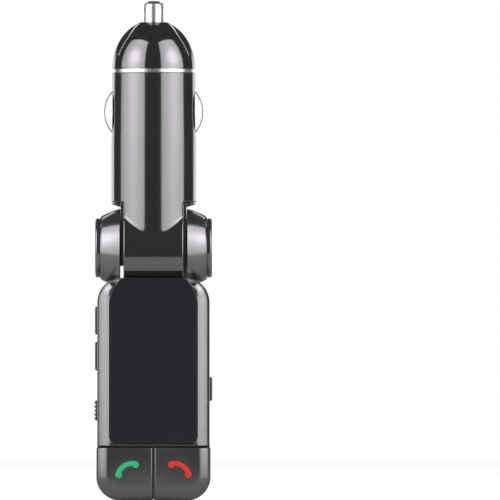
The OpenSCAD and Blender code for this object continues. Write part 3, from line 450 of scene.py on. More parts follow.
def makeSoftbox(side):
    # upright and curved, brightest at one spot; its top edge lies on one slanting plane
    s = softbox
    fromAngle, toAngle = s["right" if side > 0 else "left"]
    verts, faces = [], []
    rows, columns = 14, 28
    for c in range(columns + 1):
        a = math.radians(between(fromAngle, toAngle, c / columns))
        x, y = math.sin(a) * s["radius"], -math.cos(a) * s["radius"]
        high = (x - y) / math.sqrt(2) * s["slope"]
        for r in range(rows + 1):
            verts.append((side * x, y, between(s["low"], high, r / rows)))
    for c in range(columns):
        for r in range(rows):
            k = c * (rows + 1) + r
            faces.append((k, k + 1, k + rows + 2, k + rows + 1))
    mat, strength = lampMaterial("softbox")
    tree = mat.node_tree
    place = tree.nodes.new("ShaderNodeNewGeometry").outputs["Position"]
    split = tree.nodes.new("ShaderNodeSeparateXYZ")
    tree.links.new(place, split.inputs[0])
    level = mapped(tree, split.outputs["Z"], s["dimBelow"], s["fullAbove"], s["dimLight"], s["light"])
    hot = math.radians(s["hotAngle"])
    hotX, hotY = side * math.sin(hot), -math.cos(hot)
    hotZ = math.tan(math.radians(s["hotRise"])) * s["radius"] + s["hotLift"]
    away = againstVector(tree, "DISTANCE", place, (hotX * s["radius"], hotY * s["radius"], hotZ))
    spot = mapped(tree, away, s["hotSize"], 0.0, 0.0, s["hotGain"])
    spot.node.interpolation_type = "SMOOTHERSTEP"
    bearing = againstVector(tree, "DOT_PRODUCT", place, (hotX / s["radius"], hotY / s["radius"], 0))
    column = mapped(tree, bearing, s["sideFrom"], 1.0, s["sideLight"], s["middleLight"])
    total = combined(tree, "ADD", level, spot)
    tree.links.new(combined(tree, "MULTIPLY", total, column), strength)
    stageMesh("softbox_" + ("right" if side > 0 else "left"), verts, faces, mat, lamp=True)


def makeArch(side):
    # a slim bright strip behind and above, drawn by three ways out from the plug, for a thin arc on the nose
    ways = [Vector((side * x, y, z)) for x, y, z in arch["ways"]]
    steps = 32
    spots = []
    for i in range(steps + 1):
        t = i / steps
        first, middle, last = 2 * (t - 0.5) * (t - 1), 4 * t * (1 - t), 2 * t * (t - 0.5)
        spots.append((ways[0] * first + ways[1] * middle + ways[2] * last).normalized())
    verts, faces = [], []
    for i, p in enumerate(spots):
        along = (spots[min(i + 1, steps)] - spots[max(i - 1, 0)]).normalized()
        across = p.cross(along).normalized() * arch["width"] / 2
        for q in (-1, 1):
            verts.append(p * arch["radius"] + across * q + Vector((0, 0, arch["lift"])))
        if i:
            faces.append((2 * i - 2, 2 * i - 1, 2 * i + 1, 2 * i))
    mat, strength = lampMaterial("arch")
    strength.default_value = arch["light"]
    stageMesh("arch_" + ("right" if side > 0 else "left"), verts, faces, mat, lamp=True)


def makeFloor():
    # the camera sees it as white, and reflections see it as the softboxes light it
    f = floor
    mat = bpy.data.materials.new("floor")
    mat.use_nodes = True
    tree = mat.node_tree
    shader = tree.nodes["Principled BSDF"]
    shader.inputs["Base Color"].default_value = (f["colour"],) * 3 + (1,)
    shader.inputs["Roughness"].default_value = f["roughness"]
    shader.inputs["Emission Color"].default_value = (1, 1, 1, 1)
    seen = tree.nodes.new("ShaderNodeLightPath").outputs["Is Camera Ray"]
    tree.links.new(combined(tree, "MULTIPLY", seen, f["lift"]), shader.inputs["Emission Strength"])
    z = cadBox[0][2] - f["gap"]
    half, front, back = f["half"], f["front"], f["back"]
    verts = [(-half, front, z), (half, front, z), (half, back, z), (-half, back, z)]
    stageMesh("floor", verts, [(0, 1, 2, 3)], mat)


def makeWorld():
    # white for the camera; for reflections dark in front and white behind
    w = surround
    world = bpy.data.worlds.new("studio")
    bpy.context.scene.world = world
    world.use_nodes = True
    tree = world.node_tree
    tree.nodes.clear()
    out, back = tree.nodes.new("ShaderNodeOutputWorld"), tree.nodes.new("ShaderNodeBackground")
    back.inputs["Color"].default_value = (1, 1, 1, 1)
    tree.links.new(back.outputs[0], out.inputs["Surface"])
    split = tree.nodes.new("ShaderNodeSeparateXYZ")
    tree.links.new(tree.nodes.new("ShaderNodeTexCoord").outputs["Generated"], split.inputs[0])
    behind = mapped(tree, split.outputs["Y"], w["backFrom"], w["backFull"])
    # the white behind the part ends a little above it, so that the nose's rim stays dark
    height = mapped(tree, split.outputs["Z"], w["highFrom"], w["highFull"])
    shade = mapped(tree, combined(tree, "MULTIPLY", behind, height), 0.0, 1.0, w["frontGrey"], w["backWhite"])
    seen = tree.nodes.new("ShaderNodeMix")
    seen.inputs["B"].default_value = 1.0
    tree.links.new(tree.nodes.new("ShaderNodeLightPath").outputs["Is Camera Ray"], seen.inputs["Factor"])
    tree.links.new(shade, seen.inputs["A"])
    tree.links.new(seen.outputs["Result"], back.inputs["Strength"])


makeCamera()
for side in (-1, 1):
    makeSoftbox(side)
    makeArch(side)
makeFloor()
makeWorld()
print("camera and studio set")


# finishes

def finish(name, colour, roughness, metallic=0.0, ior=1.5, specular=0.5, coat=0.0, speck=0.03, speckSize=900,
           smear=0.06, smearSize=90, bump=0.02, bumpSize=2600, wear=0.25, stretch=(1, 1, 1), tint=(1, 1, 1)):
    # moulded plastic, plated or bare metal: mottled colour, uneven gloss, fine texture and paler rubbed edges
    mat = bpy.data.materials.new(name)
    mat.use_nodes = True
    tree = mat.node_tree
    n, link = tree.nodes, tree.links.new
    shader = n["Principled BSDF"]
    shader.inputs["Metallic"].default_value = metallic
    shader.inputs["IOR"].default_value = ior
    shader.inputs["Specular IOR Level"].default_value = specular
    shader.inputs["Specular Tint"].default_value = (*tint, 1)
    shader.inputs["Coat Weight"].default_value = coat
    shader.inputs["Coat Roughness"].default_value = 0.05
    scale = n.new("ShaderNodeMapping")
    scale.inputs["Scale"].default_value = stretch
    link(n.new("ShaderNodeTexCoord").outputs["Object"], scale.inputs["Vector"])

    def noise(size, detail):
        t = n.new("ShaderNodeTexNoise")
        t.inputs["Scale"].default_value = size
        t.inputs["Detail"].default_value = detail
        link(scale.outputs[0], t.inputs["Vector"])
        return t.outputs["Fac"]

    fine, broad, grain = noise(speckSize, 3), noise(smearSize, 4), noise(bumpSize, 2)
    edges = mapped(tree, n.new("ShaderNodeNewGeometry").outputs["Pointiness"], 0.52, 0.60, 0.0, wear)
    rubbed = combined(tree, "MULTIPLY", edges, broad)
    tone = n.new("ShaderNodeVectorMath")
    tone.operation = "SCALE"
    tone.inputs[0].default_value = colour
    link(mapped(tree, fine, 0.0, 1.0, 1 - speck, 1 + speck), tone.inputs["Scale"])
    mix = n.new("ShaderNodeMix")
    mix.data_type = "RGBA"
    link(rubbed, mix.inputs["Factor"])
    link(tone.outputs[0], mix.inputs["A"])
    mix.inputs["B"].default_value = (*(min(1, c * 1.5 + 0.03) for c in colour), 1)
    link(mix.outputs["Result"], shader.inputs["Base Color"])
    gloss = mapped(tree, broad, 0.3, 0.7, max(0.02, roughness - smear), roughness + smear)
    link(combined(tree, "ADD", gloss, rubbed), shader.inputs["Roughness"])
    relief = n.new("ShaderNodeBump")
    relief.inputs["Strength"].default_value = bump
    relief.inputs["Distance"].default_value = 0.0001
    link(grain, relief.inputs["Height"])
    link(relief.outputs[0], shader.inputs["Normal"])
    return mat


violet = (0.99, 0.95, 1.0)      # the black plastics reflect with a faint violet cast
looks = {
    "gloss_black": finish("glossBlack", (0.0105, 0.010, 0.012), 0.12, tint=violet, ior=2.1, specular=1.0,
                          smear=0.03, bump=0.03, wear=0.0),
    "nose_black": finish("noseBlack", (0.009, 0.0085, 0.011), 0.09, tint=violet, ior=2.1, specular=1.0,
                         smear=0.02, bump=0.02, wear=0.0),
    "arm_black": finish("armBlack", (0.022, 0.021, 0.024), 0.17, tint=violet, ior=2.2, specular=1.0,
                        smear=0.03, bump=0.05, wear=0.0),
    "window_black": finish("windowBlack", (0.0245, 0.0220, 0.0265), 0.06, tint=violet, smear=0.02,
                           bump=0.008, wear=0.1),
    "key_grey": finish("keyGrey", (0.021, 0.020, 0.023), 0.22, tint=violet, ior=2.0, specular=1.0,
                       smear=0.03, bump=0.08, bumpSize=3600),
    "side_grey": finish("sideGrey", (0.030, 0.030, 0.033), 0.34, ior=1.6, smear=0.05, bump=0.12,
                        bumpSize=3000),
    "mark_green": finish("markGreen", (0.036, 0.584, 0.235), 0.35, smear=0.05, bump=0.05),
    "mark_red": finish("markRed", (0.807, 0.051, 0.027), 0.35, smear=0.05, bump=0.05),
    "bright_chrome": finish("brightChrome", (0.92, 0.92, 0.93), 0.27, 1.0, smear=0.05, speck=0.01, bump=0.01,
                            wear=0.1),
    "nickel": finish("nickel", (0.88, 0.87, 0.86), 0.27, 1.0, speck=0.02, wear=0.15),
    "spring_steel": finish("springSteel", (0.58, 0.58, 0.60), 0.28, 1.0, smear=0.08, bump=0.05),
    "brass": finish("brass", (0.80, 0.58, 0.26), 0.26, 1.0, smear=0.08, bump=0.04),
    "zinc_steel": finish("zincSteel", (0.66, 0.67, 0.70), 0.30, 1.0, smear=0.10, bump=0.06, smearSize=400),
    "circuit_board": finish("circuitBoard", (0.012, 0.115, 0.045), 0.38, smear=0.08, bump=0.20,
                            bumpSize=1500),
    "chip_black": finish("chipBlack", (0.024, 0.024, 0.026), 0.55, smear=0.08, bump=0.30, bumpSize=4500),
    "chip_ivory": finish("chipIvory", (0.70, 0.66, 0.55), 0.40, smear=0.08, bump=0.15),
    "ferrite": finish("ferrite", (0.045, 0.043, 0.043), 0.62, smear=0.10, bump=0.45, bumpSize=3500),
    "can_aluminium": finish("canAluminium", (0.78, 0.79, 0.80), 0.24, 1.0, bump=0.06, stretch=(1, 4, 1)),
    "acetal": finish("acetal", (0.62, 0.62, 0.58), 0.42, bump=0.10),
    "fibre": finish("fibre", (0.13, 0.105, 0.085), 0.72, smear=0.10, bump=0.50, bumpSize=1800),
    "lead_red": finish("leadRed", (0.42, 0.020, 0.016), 0.44, bump=0.08),
    "display_glass": finish("displayGlass", (0.020, 0.024, 0.027), 0.07, coat=0.5, smear=0.02, bump=0.005),
    "shield_tin": finish("shieldTin", (0.74, 0.74, 0.73), 0.30, 1.0, smear=0.10, bump=0.06, smearSize=260),
    "tongue_white": finish("tongueWhite", (0.72, 0.72, 0.69), 0.42, smear=0.05, bump=0.10),
    "jack_black": finish("jackBlack", (0.018, 0.018, 0.019), 0.36, bump=0.10),
}
print("finishes made:", len(looks))


# the plug: nose, ring, tip, barrel with its knuckle, ground contacts

nose = {"base": 43.7, "radius": 10.3, "height": 12, "cut": 11.4, "lip": 0.1225, "bore": 2.65, "roof": 1.1,
        "guideIn": 3.55, "guideOut": 4.45, "guideLow": 1.45, "innerRadius": 7.45, "innerHeight": 9,
        "innerCut": 8.2, "collarOut": 8.65, "collarLow": 40.7}


def makeNose():
    n = nose
    top, roof = n["base"] + n["cut"], n["base"] + n["cut"] - n["roof"]
    foot = n["base"] + n["guideLow"]
    outer = []
    for i in range(49):
        z = n["cut"] * math.sin(math.pi / 2 * i / 48)
        outer.append((n["radius"] * math.sqrt(max(0, 1 - (z / n["height"]) ** 2)), n["base"] + z))
    outer[-1] = (outer[-1][0] - n["lip"], top)
    profile = [(n["collarOut"], n["base"]), (n["radius"] - 0.12, n["base"]),
               (n["radius"] - 0.03, n["base"] + 0.08)]
    profile += outer[3:]
    profile += [(n["bore"] + 0.15, top), (n["bore"], top - 0.15), (n["bore"], roof), (n["guideIn"], roof),
                (n["guideIn"], foot), (n["guideOut"], foot)]
    # the guide's outer face climbs to the inner dome
    climb = n["innerHeight"] * math.sqrt(1 - (n["guideOut"] / n["innerRadius"]) ** 2)
    profile.append((n["guideOut"], foot + climb))
    for i in range(19):
        z = n["innerCut"] * math.sin(math.pi / 2 * (18 - i) / 18)
        r = n["innerRadius"] * math.sqrt(max(0, 1 - (z / n["innerHeight"]) ** 2))
        if r > n["guideOut"] + 0.05:
            profile.append((r, foot + z))
    profile += [(n["innerRadius"], n["collarLow"]), (n["collarOut"] - 0.25, n["collarLow"]),
                (n["collarOut"], n["collarLow"] + 0.25)]
    makePiece("nose", turned(profile, aboutZ, 144), "nose_black", "plug", "nose_cap", 30)


ringTrim = {"low": 42.7, "height": 1.0, "radius": 10.3, "bore": 8.7, "crown": 0.03}


def makeRing():
    t = ringTrim
    r, low, high = t["radius"], t["low"], t["low"] + t["height"]
    outer = [(r - 0.14, low + 0.02), (r - 0.03, low + 0.09)]
    for i in range(9):
        a = i / 8
        outer.append((r - t["crown"] * (2 * a - 1) ** 2, low + 0.14 + (t["height"] - 0.28) * a))
    outer += [(r - 0.03, high - 0.09), (r - 0.14, high - 0.02)]
    profile = [(t["bore"], low + 0.02)] + outer + [(t["bore"], high - 0.02)]
    makePiece("bright_trim", turned(profile, aboutZ, 144), "bright_chrome", "plug", "bright_ring", 40)


tip = {"radius": 2.55, "top": 60.3, "dome": 1.9, "blunt": 0.72, "flangeRadius": 3.45, "flangeLow": 52.95,
       "flangeHigh": 53.95}


def makeTip():
    t = tip
    r, flange, low, high = t["radius"], t["flangeRadius"], t["flangeLow"], t["flangeHigh"]
    domeLow = t["top"] - t["dome"]
    profile = [(0, low), (flange - 0.1, low), (flange, low + 0.1), (flange, high - 0.1), (flange - 0.1, high),
               (r + 0.05, high), (r, high + 0.1), (r, domeLow - 0.6)]
    for i in range(25):
        a = math.pi / 2 * i / 24
        profile.append((r * math.cos(a) ** t["blunt"] if i < 24 else 0,
                        domeLow + t["dome"] * math.sin(a) ** t["blunt"]))
    makePiece("tip", turned(profile, aboutZ, 96), "nickel", "tip", "tip_contact", 30)


barrel = {"radius": 10.5, "low": 10.65, "top": 42.7, "ringRadius": 10.3, "hollow": 8.7, "floorTop": 14,
          "slotMid": 33.15, "slotLength": 11.6, "slotWidth": 4.9, "slotRound": 0.3, "tongueHalf": 7.3,
          "knuckle": 10.85, "knuckleHollow": 9.25, "knuckleIn": 6.1, "knuckleTop": 11.5, "edge": 0.28,
          "fillet": 0.20, "pivotBore": 4.45, "pivotReach": 9.1,
          "ribIn": 6.5, "ribOut": 8.04, "ribHalf": 6, "ribTop": 11.0, "ribLowLeft": -3.9, "ribLowRight": -8.6,
          "wedge": [(7.9, 11.2), (7.9, 9.85), (8.1, 9.80), (10.2, 10.55), (10.38, 10.75), (10.38, 11.2)],
          "wedgeTurn": 25, "screwZ": 8.4, "boss": 2.2, "bossEnd": 9.4, "screwBore": 0.95, "headBore": 1.8,
          "headFrom": 8.75, "stays": (18.0, 37.0), "stayHalf": 1.5, "stayOut": 8.8, "stayGap": 0.65}


def junction(x, z):
    # how far the tongue's front and the knuckle stand out at one place, with a hollow fillet between them
    b = barrel
    a = math.sqrt(b["radius"] ** 2 - x * x)
    c = math.sqrt(max(0, b["knuckle"] ** 2 - z * z))
    k = b["fillet"] * max(0, 1 - (z / 10.6) ** 6) * smoothStep(0.3, 3.5, z)
    gap = a - c
    return (a + c + math.sqrt(gap * gap + k * k)) / 2


def tongueColumns():
    reach = barrel["tongueHalf"] - barrel["edge"]
    return [-reach + 2 * reach * i / 48 for i in range(49)]


def barrelShape(side):
    # its lower edge is bevelled, except where the tongue goes on down to the knuckle
    b = barrel
    r, half, top, topRadius = b["radius"], b["tongueHalf"], b["top"], b["ringRadius"]
    profile = [(r - 0.85, b["low"]), (r - 0.66, b["low"] + 0.05), (r, b["low"] + 0.70), (r, b["low"] + 0.85),
               (r, 12.2), (r, 18), (r, 26.35), (10.45, 30), (10.40, 35), (10.34, 39),
               (topRadius, top - 0.10), (topRadius - 0.03, top - 0.03), (topRadius - 0.10, top)]
    outer = [r * math.cos(math.pi / 96 * i) for i in range(96)]
    outer = [x for x in outer if x > half + 0.02] + [half + 0.02]
    columns = sorted(tongueColumns() + [-half, half] + outer + [-x for x in outer])
    loops = []
    for radius, z in profile:
        loop = []
        for x in columns:
            share = 1 if abs(x) <= half and z < 13 else radius / r
            loop.append((x * share, side * math.sqrt(max(0, r * r - x * x)) * share, z))
        loops.append(loop)
    return loft(loops)


def knuckleShape(side):
    # a drum about the hinge axis that runs up into the tongue
    b = barrel
    half, edge, drum = b["tongueHalf"], b["edge"], b["knuckle"]
    rim = [(-half, edge)]
    for i in range(1, 4):
        t = math.pi / 2 * i / 4
        rim.append((-half + edge * (1 - math.cos(t)), edge * (1 - math.sin(t))))
    loops = []
    for x, g in rim + [(x, 0) for x in tongueColumns()] + [(-x, g) for x, g in reversed(rim)]:
        loop = [(x, 0, b["knuckleTop"])]
        z = b["knuckleTop"]
        while z > 2.0:
            loop.append((x, side * (junction(x, z) - g), z))
            z -= 0.22
        top = math.asin(1.9 / drum)
        steps = 48
        for i in range(steps + 1):
            t = between(top, -math.pi / 2, i / steps)
            extra = junction(x, drum * math.sin(t)) - drum * math.cos(t) if t > 0 else 0
            loop.append((x, side * ((drum - g) * math.cos(t) + max(0, extra)), (drum - g) * math.sin(t)))
        loops.append(loop)
    return loft(loops)


def makeBarrel(side):
    b = barrel
    name, node = ("barrel_face", "barrel_front") if side < 0 else ("barrel_back", "barrel_rear")
    obj = makePiece(name, barrelShape(side), "gloss_black", "plug", node)
    carve(obj, [knuckleShape(side)], "UNION")
    ribs = []
    for x0, x1, low in ((-b["ribOut"], -b["ribIn"], b["ribLowLeft"]),
                        (b["ribIn"], b["ribOut"], b["ribLowRight"])):
        y0, y1 = sorted((0.0, side * b["ribHalf"]))
        ribs.append(box((x0, y0, low), (x1, y1, b["ribTop"])))
    # under the barrel's lower corners, a sloping wedge beside each rib closes the view over the lug
    for start in ((-b["wedgeTurn"], 180) if side < 0 else (0, 180 - b["wedgeTurn"])):
        ribs.append(turned(b["wedge"], aboutZ, 8, start, b["wedgeTurn"]))
    carve(obj, ribs, "UNION")
    turns = [math.pi * k / 48 for k in range(96)]
    hollow = [[(b["hollow"] * math.cos(t), b["hollow"] * math.sin(t), z) for t in turns]
              for z in (b["floorTop"], b["top"] + 1)]
    slot = oblong(0, b["slotMid"], b["slotWidth"] / 2, b["slotLength"] / 2, b["slotRound"])
    carve(obj, [loft(hollow), lengthwise(-b["knuckleIn"], b["knuckleIn"], b["knuckleHollow"]),
                lengthwise(-b["pivotReach"], b["pivotReach"], b["pivotBore"], 64),
                box((-5, -6, 0), (5, 6, b["floorTop"] + 0.5)),
                loft([[(x, y, z) for y, z in slot] for x in (-12, 12)])])
    inner = [rod((0, min(0, side * b["bossEnd"]), b["screwZ"]), "y", b["boss"], b["bossEnd"])]
    for z in b["stays"]:
        y0, y1 = sorted((side * b["stayGap"], side * b["stayOut"]))
        inner.append(box((-b["stayHalf"], y0, z), (b["stayHalf"], y1, z + 1.2)))
    carve(obj, inner, "UNION")
    bores = [rod((0, -4.4, b["screwZ"]), "y", b["screwBore"], 13.2)]
    if side > 0:
        bores.append(rod((0, b["headFrom"], b["screwZ"]), "y", b["headBore"], 3))
    carve(obj, bores)
    soften(obj, 0.10, 40, 28, weld=0.004, even=True)


contact = {"mid": 33.15, "bowRadius": 7.7, "bowCentre": 4.45, "half": 5.7, "foot": 1.5, "footX": 8.304,
           "t": 0.3, "width": 4.5}


def makeContact(side):
    # a bowed strip with a straight foot at each end, its edges a little rounded
    c = contact
    name, node, body = (("contact_left", "ground_contact_left", "ground_left") if side < 0
                        else ("contact_right", "ground_contact_right", "ground_right"))
    half, foot, x, t = c["half"], c["half"] + c["foot"], c["footX"], c["t"]
    steps = 24

    def bow(r, end):
        reach = math.asin(end / r)
        turns = [between(-reach, reach, i / steps) for i in range(steps + 1)]
        return [(c["bowCentre"] + r * math.cos(a), r * math.sin(a)) for a in turns]

    outline = bow(c["bowRadius"], half)
    outline += [(x + 0.02, half), (x, half + 0.12), (x, foot), (x - t, foot), (x - t, half - t)]
    outline += reversed(bow(c["bowRadius"] - t, half - t))
    outline += [(x - t, t - half), (x - t, -foot), (x, -foot), (x, -half - 0.12), (x + 0.02, -half)]
    n = len(outline)
    loops = []
    for y, pull in ((-1, 0.05), (-0.985, 0.012), (-0.95, 0), (0.95, 0), (0.985, 0.012), (1, 0.05)):
        loop = []
        for i, p in enumerate(outline):
            d = (Vector(outline[(i + 1) % n]) - Vector(outline[i - 1])).normalized()
            q = Vector(p) - Vector((d.y, -d.x)) * pull
            loop.append((side * q.x, y * c["width"] / 2, c["mid"] + q.y))
        loops.append(loop)
    makePiece(name, loft(loops), "nickel", body, node, 35)


makeNose()
makeRing()
makeTip()
for side in (-1, 1):
    makeBarrel(side)
for side in (-1, 1):
    makeContact(side)
print("plug made")


# hinge caps

hingeCap = {"from": 13.0, "radius": 7.2, "thick": 1.4, "edge": 0.5, "dome": 0.14, "spigot": 6.15}


def makeHingeCap(side):
    c = hingeCap
    name, node = ("cap_left", "hinge_cap_left") if side < 0 else ("cap_right", "hinge_cap_right")
    flat, rim = c["radius"] - c["edge"], c["from"] + c["thick"] - c["dome"]
    profile = [(0, c["from"] - 0.5), (c["spigot"], c["from"] - 0.5), (c["spigot"], c["from"] + 0.03),
               (c["radius"] - 0.12, c["from"] + 0.03), (c["radius"], c["from"] + 0.15)]
    for i in range(9):
        a = math.pi / 2 * i / 8
        profile.append((c["radius"] - c["edge"] * (1 - math.cos(a)), rim - c["edge"] * (1 - math.sin(a))))
    for i in range(1, 9):
        r = flat * (1 - i / 8)
        profile.append((r, c["from"] + c["thick"] - c["dome"] * (r / flat) ** 2))
    makePiece(name, turned(profile, aboutX(side), 120), "arm_black", "arm", node, 30)


for side in (-1, 1):
    makeHingeCap(side)
print("hinge caps made")


# the arm: its two halves, the window, the keys

arm = {"half": 13.7, "front": -10.5, "back": 10.5, "top": -7.3, "bottom": -61.3, "shoulder": 6.0, "foot": 5.6,
       "bandWidth": 3.0, "bandLow": 3.9, "bandShoulder": 1.7, "bandTop": 0.30,
       "bandStart": 14, "bandEnd": 56, "bandSteep": 44, "backRound": 4.0, "backTop": 1.4,
       "wall": 1.6, "hollowFront": -8.0, "hollowTop": -12.75, "hollowRound": 2.4, "gapTop": -48.1,
       "deckFront": -5.8, "deckBack": -4.7, "saddle": 11.15, "pivotBore": 4.45, "capBore": 6.2,
       "lugIn": 8.1, "lugOut": 13.0, "lugInRadius": 9.9, "lugOutRadius": 7.7, "lugEdge": 0.34,
       "lugEdgeTurn": 66, "lugBulge": 0.10, "bossX": 6.9, "bossZ": (-14.9, -46.1), "boss": 2.0,
       "screwBore": 0.95, "screwWay": 1.0, "headBore": 1.8, "headFrom": 8.9,
       "usb": (-3.45, 13.2, 5.7, 13.0), "jack": (7.15, 2.9), "socketY": 1.05}
display = {"half": 8.8, "high": -17.05, "low": -43.65, "border": 0.8}
windowPane = {"half": 10.65, "low": -47.6, "high": -7.62, "foot": 1.6, "top": 8.0, "turn": 51.2, "t": 1.2,
              "gap": 0.08}
callKey = {"proud": 0.2, "slit": 0.25, "top": -48.6, "depth": 4.2, "start": 3, "end": 60, "round": 0.32,
           "wall": 1.6, "stem": 1.3, "markX": 7.0, "markZ": -52.95, "stemEnd": -4.65}
mark = {"bow": 3.9, "stroke": 1.2, "end": 0.85, "pull": 0.255, "sweep": 41, "tilt": 31, "t": 0.3}
sideKeys = {"upper": (-1, -17.7, 6.8), "lower": (-1, -26.4, 7.0), "right": (1, -34.4, 5.8)}
sideForm = {"y": -2.45, "width": 3.6, "out": 0.6, "in": 12.0, "flange": 0.7, "margin": 0.6, "back": 2.3,
            "play": 0.1}
slider = {"z": -39.65, "length": 4.9, "width": 3.24, "stem": 2.0, "stemWidth": 1.8, "travel": 2.0,
          "plate": 0.4, "rib": 0.25, "ribs": 5}


def armOutline(grow=0.0, steps=14):
    # points round the arm, seen from the front, each with the way out and the widths of the bands there
    a = arm
    corners = [(1, 1, a["shoulder"], 0), (-1, 1, a["shoulder"], 90),
               (-1, -1, a["foot"], 180), (1, -1, a["foot"], 270)]
    out = []
    for sx, sz, r, start in corners:
        cx = sx * (a["half"] - r)
        cz = (a["top"] - r) if sz > 0 else (a["bottom"] + r)
        for i in range(steps + 1):
            t = math.radians(start + 90 * i / steps)
            nx, nz = math.cos(t), math.sin(t)
            up, down = max(0, nz), max(0, -nz)
            band = a["bandWidth"]
            band = between(band, a["bandShoulder"], smoothStep(0.15, 0.90, up))
            band = between(band, a["bandTop"], smoothStep(0.955, 1.0, up))
            band = between(band, a["bandLow"], smoothStep(0.1, 0.95, down))
            back = between(a["backRound"], a["backTop"], smoothStep(0.5, 1, up))
            out.append((cx + nx * (r + grow), cz + nz * (r + grow), nx, nz, band, back))
    return out


def bandFall(width, start, end, t):
    # place of a crowned band at share t of its width: how far from its inner edge, and how far back
    a0, a1 = math.radians(start), math.radians(end)
    size = width / (math.sin(a1) - math.sin(a0))
    a = between(a0, a1, t)
    return size * (math.sin(a) - math.sin(a0)), size * (math.cos(a0) - math.cos(a))


def frontBlock(grow, front, back, start, end, steps=12, outerRound=0.22):
    outline = []
    for x, z, nx, nz, band, _ in armOutline(grow):
        # round the upper corners the band turns steeper, and so stays dark
        steep = between(start, max(start, arm["bandSteep"]), smoothStep(0.85, 0.94, nz))
        outline.append((x, z, nx, nz, band, steep))
    loops = []
    for k in range(steps + 1):
        loop = []
        for x, z, nx, nz, band, steep in outline:
            run, fall = bandFall(band, steep, end, k / steps)
            inset = band - run
            if k == steps:
                inset, fall = 0.06, fall - 0.06
            loop.append((x - nx * inset, front + fall, z - nz * inset))
        loops.append(loop)
    loops.append([(x, front + bandFall(band, steep, end, 1)[1] + outerRound, z)
                  for x, z, _, _, band, steep in outline])
    loops.append([(x, back, z) for x, z, *_ in outline])
    return loft(loops)


def rearBlock():
    outline = armOutline()
    loops = [[(x, 0, z) for x, z, *_ in outline]]
    for k in range(11):
        t = math.pi / 2 * k / 10
        inset, rise = 1 - math.cos(t), math.sin(t)
        loops.append([(x - nx * r * inset, arm["back"] - r + r * rise, z - nz * r * inset)
                      for x, z, nx, nz, _, r in outline])
    return loft(loops)


def lugShape(side, rear):
    # half a cone about the hinge axis, with a rounded inner edge and a slight bulge
    a = arm
    profile = [(0, a["lugIn"])]
    for i in range(9):
        t = math.radians(a["lugEdgeTurn"]) * i / 8
        profile.append((a["lugInRadius"] - 0.25 - a["lugEdge"] * (1 - math.sin(t)),
                        a["lugIn"] + a["lugEdge"] * (1 - math.cos(t))))
    edgeRadius, edgeOut = profile[-1]
    for i in range(1, 12):
        t = i / 12
        bulge = a["lugBulge"] * math.sin(math.pi * t)
        profile.append((between(edgeRadius, a["lugOutRadius"], t) + bulge, between(edgeOut, a["lugOut"], t)))
    profile += [(a["lugOutRadius"], a["lugOut"] - 0.15), (a["lugOutRadius"] - 0.15, a["lugOut"]),
                (0, a["lugOut"])]
    return turned(profile, aboutX(side), 96, 90 if rear else -90, 180)


def clipped(points, low, high):
    # keeps the part of a flat outline between two heights
    for level, keepAbove in ((low, True), (high, False)):
        out = []
        n = len(points)
        for i in range(n):
            p, q = points[i], points[(i + 1) % n]
            pIn = p[1] >= level if keepAbove else p[1] <= level
            qIn = q[1] >= level if keepAbove else q[1] <= level
            if pIn:
                out.append(p)
            if pIn != qIn:
                t = (level - p[1]) / (q[1] - p[1])
                out.append((between(p[0], q[0], t), level))
        points = out
    return points


def slab(points, y0, y1):
    return loft([[(x, y, z) for x, z in points] for y in (y0, y1)])


def paneOutline(grow=0.0):
    # the window's wide curves above and small ones below
    w = windowPane
    half, low, high = w["half"] + grow, w["low"] - grow, w["high"] + grow
    foot, top = w["foot"], w["top"] + grow
    turn = math.radians(w["turn"])
    middle = high - top * math.sin(turn)
    out = []
    for cx, cz, r, start, sweep, steps in (
            (half - top, middle, top, 0, turn, 10), (-half + top, middle, top, math.pi - turn, turn, 10),
            (-half + foot, low + foot, foot, math.pi, math.pi / 2, 8),
            (half - foot, low + foot, foot, 1.5 * math.pi, math.pi / 2, 8)):
        for i in range(steps + 1):
            t = start + sweep * i / steps
            out.append((cx + r * math.cos(t), cz + r * math.sin(t)))
    return out


leadWay = [(-11.73, 0, 0), (-11.73, 0, -6.0), (-10.2, 0, -8.4), (-10.2, 0, -14.2)]


def sharedCuts():
    # the saddle, the pivots' bores, the lead's way and the sockets, which both halves share
    a = arm
    cuts = [lengthwise(-a["lugIn"], a["lugIn"], a["saddle"], 144),
            lengthwise(-11.2, 11.2, a["pivotBore"], 64),
            lengthwise(10.1, 14.5, a["capBore"], 72), lengthwise(-14.5, -10.1, a["capBore"], 72),
            tube(rounded(leadWay, 1.5), 0.72)]
    usbX, usbWide, usbDeep, usbHigh = a["usb"]
    x, y = usbWide / 2 + 0.1, usbDeep / 2 + 0.1
    cuts.append(box((usbX - x, a["socketY"] - y, a["bottom"] - 1),
                    (usbX + x, a["socketY"] + y, a["bottom"] + usbHigh + 0.1)))
    cuts.append(rod((a["jack"][0], a["socketY"], a["bottom"] - 1), "z", a["jack"][1] + 0.1, 3.6))
    return cuts


def bossRods(y, r, length):
    return [rod((s * arm["bossX"], y, z), "y", r, length) for s in (-1, 1) for z in arm["bossZ"]]


